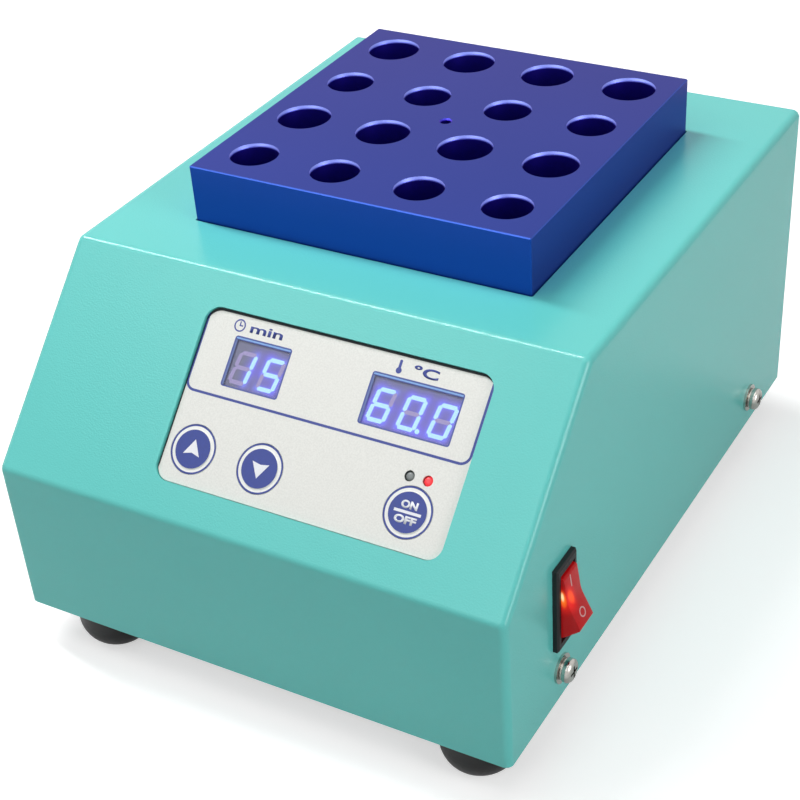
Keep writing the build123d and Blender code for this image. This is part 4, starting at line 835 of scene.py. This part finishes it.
key_film = grained("Silver key film", ("#e6e7e4", "#f0f1ee"), 0.5 * MM, (0.38, 0.46), 0.006 * MM)
dress(key_film, "key_up", "key_down", "key_run_stop")
white_ink = grained("White screen ink", ("#dcdfe6", "#eceef2"), 0.6 * MM, (0.38, 0.48), 0.004 * MM)
key_ink = grained("Blue key ink", ("#23357f", "#2c3f90"), 1.5 * MM, (0.36, 0.46), 0.005 * MM)
KEY_RIM = 7.75
KEY_LINE = 0.55
KEY_DISC = 6.05
KEY_Y = -16.275
EMBOSS = 0.25 * MM
WORD_X = 35.35
keys = (
    ("up", "up_key", [[(0, 3.1), (2.95, -1.95), (0.05, -1.15), (-2.9, -1.95)]]),
    ("down", "down_key", [[(0, -3.1), (-2.95, 1.75), (0.05, 1.2), (2.95, 1.75)]]),
    ("run_stop", "run_stop_key", [[(-4.4, -0.45), (4.4, -0.45), (4.4, 0.4), (-4.4, 0.4)]]),
)
on_disc = on_panel(0, 0, EMBOSS + PRINT_LIFT + PRINT_T / 2)
on_sign = on_panel(0, 0, EMBOSS + 2 * PRINT_LIFT + 1.5 * PRINT_T)
for name, body_name, marks in keys:
    x = panel_spot(f"key_{name}")[0]
    rim_line = ring((x, KEY_Y), KEY_RIM, KEY_RIM - KEY_LINE)
    rim = printed_shape(f"key_{name}_ring", rim_line, on_face, key_ink)
    round_face = arc((x, KEY_Y), KEY_DISC, 0, 360, 96)[:-1]
    disc = printed_shape(f"key_{name}_disc", [round_face], on_disc, key_ink)
    drawn_marks = [[(x + dx, KEY_Y + dy) for dx, dy in loop] for loop in marks]
    sign = printed_shape(f"key_{name}_sign", drawn_marks, on_sign, white_ink)
    for piece in (rim, disc, sign):
        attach(piece, body_name)
raised_print = EMBOSS + 2 * PRINT_LIFT + PRINT_T
for label, words, size, rise in (
    ("on", "ON", (5.4, 2.4), 2.2),
    ("off", "OFF", (7.2, 2.4), -2.25),
):
    place = on_panel(WORD_X, KEY_Y + rise, raised_print)
    piece = printed_text(f"key_run_stop_{label}", words, size, place, white_ink, 0.05)
    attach(piece, "run_stop_key")

unlit_led = grained("Grey LED epoxy", ("#767c7c", "#868c8c"), 1.2 * MM, (0.28, 0.38), 0.002 * MM)
dress(unlit_led, "led_ready")
lit_led, tree = new_material("Lit red LED epoxy")
surfaced(
    tree,
    {
        "Base Color": linear("#d01828"),
        "Roughness": 0.2,
        "Emission Color": mixed(tree, noise(tree, object_space(tree), 1.4 * MM, 1.0), "#d8152c", "#ff5a5a"),
        "Emission Strength": 0.6,
    },
)
dress(lit_led, "led_heat")

# Small moulded nylon tubes hold the display board off the bracket.
natural_nylon = grained("Natural nylon", ("#cfccc0", "#dddacf"), 1.0 * MM, (0.40, 0.55), 0.006 * MM)
dress(natural_nylon, "display_spacers")

# ---- Rocker switch -----------------------------------------------------------------------------
# A snap-in mains switch on the right flank: black nylon body and bezel, and a clear red rocker
# that a small neon lamp behind it lights. The rocker carries the usual I and O.

dress(black_nylon, "switch_body")

# Neon lamp: an orange glow inside a small glass tube.
neon, tree = new_material("Neon lamp")
surfaced(
    tree,
    {
        "Base Color": linear("#ffb060"),
        "Roughness": 0.2,
        "Emission Color": mixed(tree, noise(tree, object_space(tree), 2 * MM, 1.0), "#ff8a30", "#ffc070"),
        "Emission Strength": 25.0,
    },
)
dress(neon, "neon_lamp")

rocker_pivot = Vector(next(joint["pos_m"] for joint in frame["joints"] if joint["name"] == "rocker_turn"))

# Clear red polycarbonate, lit from behind: deep red with a moulded gloss, a near-white spot where
# the lamp stands close behind the front cheek, and an orange patch beside it on the face.
red_clear, tree = new_material("Clear red polycarbonate")
place = object_space(tree)
flow = noise(tree, place, 2.5 * MM, 1.0)
flow = add_node(tree, "ShaderNodeMapRange", {"Value": flow, "To Min": 0.16, "To Max": 0.28})
# Each glow's middle from the pivot, its long axis, its three radii and its colour.
lamp_glows = (
    ((6.9, -2.8, 3.4), (-0.1, -0.2, 1.0), (4.6, 4.6, 7.0), "#d01a10"),
    ((7.9, -2.1, 4.2), (-0.13, -0.38, 0.91), (1.9, 1.9, 3.9), "#f25a20"),
    ((6.5, -4.5, 4.4), (-0.115, 0.0, 0.993), (1.5, 1.5, 4.0), "#ff7a20"),
    ((6.3, -4.5, 5.2), (-0.115, 0.0, 0.993), (0.75, 0.75, 2.2), "#fff0b0"),
)
shining = "#6a0709"
for (dx, dy, dz), axis, radii, colour in lamp_glows:
    centre = rocker_pivot + Vector((dx, dy, dz)) * MM
    turned = Vector(axis).to_track_quat("Z", "Y").to_euler()
    nearby = add_node(
        tree,
        "ShaderNodeMapping",
        {
            "Vector": place,
            "Location": centre,
            "Rotation": turned,
            "Scale": [radius * MM for radius in radii],
        },
        vector_type="TEXTURE",
    )
    ball = add_node(
        tree, "ShaderNodeTexGradient", {"Vector": nearby.outputs["Vector"]}, gradient_type="SPHERICAL"
    )
    fade = add_node(
        tree,
        "ShaderNodeMapRange",
        {"Value": ball.outputs["Fac"], "From Max": 0.75},
        interpolation_type="SMOOTHSTEP",
    )
    shining = mixed(tree, fade.outputs["Result"], shining, colour)
surfaced(
    tree,
    {
        "Base Color": linear("#a4070c"),
        "Roughness": flow.outputs["Result"],
        "IOR": 1.58,
        "Specular IOR Level": 0.14,
        "Emission Color": shining,
        "Emission Strength": 0.9,
    },
)

# The moulding's edges are rounded by about half a millimetre.
rocker_cad = frame["nodes"]["rocker"]
body = bmesh.new()
body.from_mesh(rocker_cad.data)
bmesh.ops.remove_doubles(body, verts=body.verts, dist=0.001 * MM)
bmesh.ops.dissolve_limit(body, angle_limit=math.radians(1.0), verts=body.verts, edges=body.edges)
mesh = bpy.data.meshes.new("rocker_moulding")
body.to_mesh(mesh)
body.free()
rocker_piece = placed("rocker_moulding", mesh)
rounder = rocker_piece.modifiers.new("rounder", "BEVEL")
rounder.width = 0.45 * MM
rounder.segments = 3
rounder.limit_method = "ANGLE"
rounder.angle_limit = math.radians(35)
mesh = plain_mesh(rocker_piece)
rocker_piece.modifiers.remove(rounder)
rocker_piece.data = mesh
mesh.name = "rocker_moulding"
mesh.shade_smooth()
mesh.set_sharp_from_angle(angle=math.radians(30))
mesh.materials.clear()
mesh.materials.append(red_clear)
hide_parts("rocker")
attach(rocker_piece, "rocker")

# The rocker's face in millimetres: the cheeks' rise over their run, and the hollow's middle from
# the pivot.
rocker_tilt = math.radians(17)
rocker_out = Vector((math.cos(rocker_tilt), 0, math.sin(rocker_tilt)))
rocker_along = Vector((-math.sin(rocker_tilt), 0, math.cos(rocker_tilt)))
cheek_rise, cheek_run, dish = 1.46, 9.2, 8.48


def on_cheek(side, distance, across):
    """Placement on the rocker's upper (1) or lower (-1) cheek, from the middle of its hollow."""
    along = (rocker_out * cheek_rise + rocker_along * side * cheek_run).normalized() * side
    out = Vector((0, 1, 0)).cross(along)
    sideways = Vector((0, across * MM, 0))
    spot = rocker_pivot + rocker_out * dish * MM + along * side * distance * MM + sideways
    turn = Matrix((Vector((0, 1, 0)), along, out)).transposed()
    return Matrix.Translation(spot + out * PRINT_MIDDLE) @ turn.to_4x4()


rocker_ink = grained("White pad-printed ink", ("#c9a4a6", "#d8b4b4"), 0.6 * MM, (0.38, 0.48), 0.004 * MM)
bar_line = [rounded((0, 0), 0.45, 4.2, 0.2)]
bar_mark = printed_shape("rocker_mark_on", bar_line, on_cheek(1, 6.6, -0.6), rocker_ink)
ring_line = ring((0, 0), 1.6, 1.2)
ring_mark = printed_shape("rocker_mark_off", ring_line, on_cheek(-1, 5.5, 0.3), rocker_ink)
for piece in (bar_mark, ring_mark):
    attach(piece, "rocker")

# ---- Case screws -------------------------------------------------------------------------------
# Stainless M4 pan heads with cross recesses. The four on the flanks also have a split spring
# washer and a flat washer; two more hold the rear panel to the tray.

WASHER_SPLIT = 0.965  # turns of wire in a split washer
WASHER_WIRE = 1.5 * MM
WASHER_TWIST = 0.12 * MM

dull_stainless = grained(
    "Rolled stainless steel", ("#aaa8a2", "#cfccc6"), 0.8 * MM, (0.12, 0.26), 0.004 * MM, Metallic=1.0
)
dress(dull_stainless, "side_screws", "side_flat_washers", "rear_screws")

# Split washers: a flat-sided wire wound just short of one turn, one on each point, facing out
# from its flank.
washer_tree, given = geometry_tree(
    "split_washers", ("Middle Radius", "Wire Width", "Wire Thickness", "Turns", "Twist")
)
wire_line = add_node(
    washer_tree,
    "GeometryNodeCurveSpiral",
    {
        "Resolution": 64,
        "Rotations": given["Turns"],
        "Start Radius": given["Middle Radius"],
        "End Radius": given["Middle Radius"],
        "Height": given["Twist"],
    },
)
wire_section = add_node(
    washer_tree,
    "GeometryNodeCurvePrimitiveQuadrilateral",
    {"Width": given["Wire Width"], "Height": given["Wire Thickness"]},
)
level_wire = add_node(
    washer_tree, "GeometryNodeSetCurveNormal", {"Curve": wire_line.outputs["Curve"]}, mode="Z_UP"
)
washer = add_node(
    washer_tree,
    "GeometryNodeCurveToMesh",
    {
        "Curve": level_wire.outputs["Curve"],
        "Profile Curve": wire_section.outputs["Curve"],
        "Fill Caps": True,
    },
)
flank = add_node(washer_tree, "GeometryNodeInputNamedAttribute", {"Name": "flank"}, data_type="FLOAT")
facing = worked(washer_tree, "MULTIPLY", flank.outputs["Attribute"], math.pi / 2)
facing = add_node(washer_tree, "ShaderNodeCombineXYZ", {"Y": facing}).outputs[0]
washers = add_node(
    washer_tree,
    "GeometryNodeInstanceOnPoints",
    {"Points": given["Geometry"], "Instance": washer.outputs["Mesh"], "Rotation": facing},
)
loose = add_node(washer_tree, "GeometryNodeRealizeInstances", {"Geometry": washers.outputs["Instances"]})
end_tree(washer_tree, loose.outputs["Geometry"], given["Finish"])

ring_low, ring_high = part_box("side_spring_washers")
flat_low, flat_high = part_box("side_flat_washers")
ring_r = (ring_high.z - ring_low.z) / 2
ring_t = ring_high.x - flat_high.x
ring_z = (ring_low.z + ring_high.z) / 2
spots, flanks = [], []
for flank_side, outer_face in ((1, ring_high.x), (-1, ring_low.x)):
    for y in (ring_low.y + ring_r, ring_high.y - ring_r):
        spots.append((outer_face - flank_side * (ring_t + WASHER_TWIST) / 2, y, ring_z))
        flanks.append(flank_side)
points = bpy.data.meshes.new("washer_points")
points.from_pydata(spots, [], [])
points.attributes.new("flank", "FLOAT", "POINT").data.foreach_set("value", flanks)
settings = {
    "Middle Radius": ring_r - WASHER_WIRE / 2,
    "Wire Width": WASHER_WIRE,
    "Wire Thickness": ring_t - WASHER_TWIST,
    "Turns": WASHER_SPLIT,
    "Twist": WASHER_TWIST,
    "Finish": dull_stainless,
}
washer_rings = grown("split_washer_rings", points, washer_tree, settings, Matrix.Identity(4))
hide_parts("side_spring_washers")
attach(washer_rings, "case")

# ---- Stage, light and camera -------------------------------------------------------------------
# A white table under a large soft light and a narrow one on the left, which draws the highlight
# along the fold, with weaker light from the front and the right.

FLOOR_REACH = 4.0
FLOOR_GAP = 0.0003
GLOSSY_SHARE = 0.3  # how much of the floor's own white shows in reflections
SKY_LIGHT = 0.02

floor_mesh = bpy.data.meshes.new("floor")
body = bmesh.new()
bmesh.ops.create_grid(body, x_segments=2, y_segments=2, size=FLOOR_REACH)
body.to_mesh(floor_mesh)
body.free()
floor_mesh.transform(Matrix.Translation((0, 0, -FLOOR_GAP)))
floor = placed("floor", floor_mesh)

# White laminate: matt, lifted to plain white for the camera, and more so far from the part.
white_table, tree = new_material("White table")
rays = add_node(tree, "ShaderNodeLightPath").outputs
seen = worked(tree, "MAXIMUM", rays["Is Camera Ray"], rays["Is Transmission Ray"])
seen = worked(tree, "MAXIMUM", seen, worked(tree, "MULTIPLY", rays["Is Glossy Ray"], GLOSSY_SHARE))
far = add_node(tree, "ShaderNodeVectorMath", {0: object_space(tree)}, operation="LENGTH").outputs["Value"]
span = {"From Min": 0.3, "From Max": 1.4, "To Min": 0.55, "To Max": 1.0}
white = add_node(tree, "ShaderNodeMapRange", {"Value": far, **span}).outputs["Result"]
lift = worked(tree, "MULTIPLY", seen, white)
matt = add_node(tree, "ShaderNodeBsdfDiffuse", {"Color": linear("#d4d4d4")})
shine = add_node(tree, "ShaderNodeEmission", {"Color": (1, 1, 1, 1), "Strength": lift})
both = add_node(tree, "ShaderNodeAddShader", {0: matt.outputs[0], 1: shine.outputs[0]})
add_node(tree, "ShaderNodeOutputMaterial", {"Surface": both.outputs[0]})
floor_mesh.materials.append(white_table)

world = bpy.data.worlds.new("studio")
bpy.context.scene.world = world
world.use_nodes = True
tree = world.node_tree
tree.nodes.clear()
rays = add_node(tree, "ShaderNodeLightPath").outputs
seen = worked(tree, "MAXIMUM", rays["Is Camera Ray"], rays["Is Glossy Ray"])
seen = worked(tree, "MAXIMUM", seen, rays["Is Transmission Ray"])
level = add_node(tree, "ShaderNodeMapRange", {"Value": seen, "To Min": SKY_LIGHT, "To Max": 1.0})
sky = add_node(tree, "ShaderNodeBackground", {"Color": (1, 1, 1, 1), "Strength": level.outputs["Result"]})
add_node(tree, "ShaderNodeOutputWorld", {"Surface": sky.outputs[0]})


def soft_lamp(name, place, aim, width, depth, power):
    """A rectangular area lamp that points at a spot."""
    lamp = bpy.data.lights.new(name, "AREA")
    lamp.shape = "RECTANGLE"
    lamp.size = width
    lamp.size_y = depth
    lamp.energy = power
    holder = placed(name, lamp)
    holder.location = place
    holder.rotation_euler = (Vector(aim) - Vector(place)).to_track_quat("-Z", "Y").to_euler()


soft_lamp("overhead", (0.0, -0.1, 1.3), (0, 0, 0.1), 1.0, 1.0, 4.2)
soft_lamp("strip", (-0.58, 0.05, 1.1), (0, -0.05, 0.12), 0.12, 0.8, 10.0)
soft_lamp("front_left", (-0.50, -0.49, 0.88), (0, 0, 0.1), 0.42, 0.42, 1.2)
soft_lamp("front_fill", (-0.1, -0.9, 0.8), (0, 0, 0.1), 0.6, 0.6, 2.0)
soft_lamp("right_fill", (1.06, -0.21, 0.53), (0, 0, 0.05), 0.6, 0.6, 5.8)

LENS = 77.064
CAMERA_PLACE = Vector((0.25313, -0.42732, 0.38251))
yaw, pitch, roll = (math.radians(angle) for angle in (-30.938, -37.1897, -3.7367))
ahead = Vector((math.sin(yaw) * math.cos(pitch), math.cos(yaw) * math.cos(pitch), math.sin(pitch)))
level_right = ahead.cross(Vector((0, 0, 1))).normalized()
level_up = level_right.cross(ahead)
camera_right = level_right * math.cos(roll) + level_up * math.sin(roll)
camera_up = level_up * math.cos(roll) - level_right * math.sin(roll)
lens = bpy.data.cameras.new("camera")
lens.lens = LENS
lens.sensor_width = 36.0
lens.shift_x = -0.0375
lens.shift_y = 0.125
lens.clip_start = 0.01
camera = placed("camera", lens)
turn = Matrix((camera_right, camera_up, -ahead)).transposed()
camera.matrix_world = Matrix.Translation(CAMERA_PLACE) @ turn.to_4x4()
bpy.context.scene.camera = camera
bpy.context.scene.view_settings.view_transform = "Standard"

bpy.context.view_layer.update()
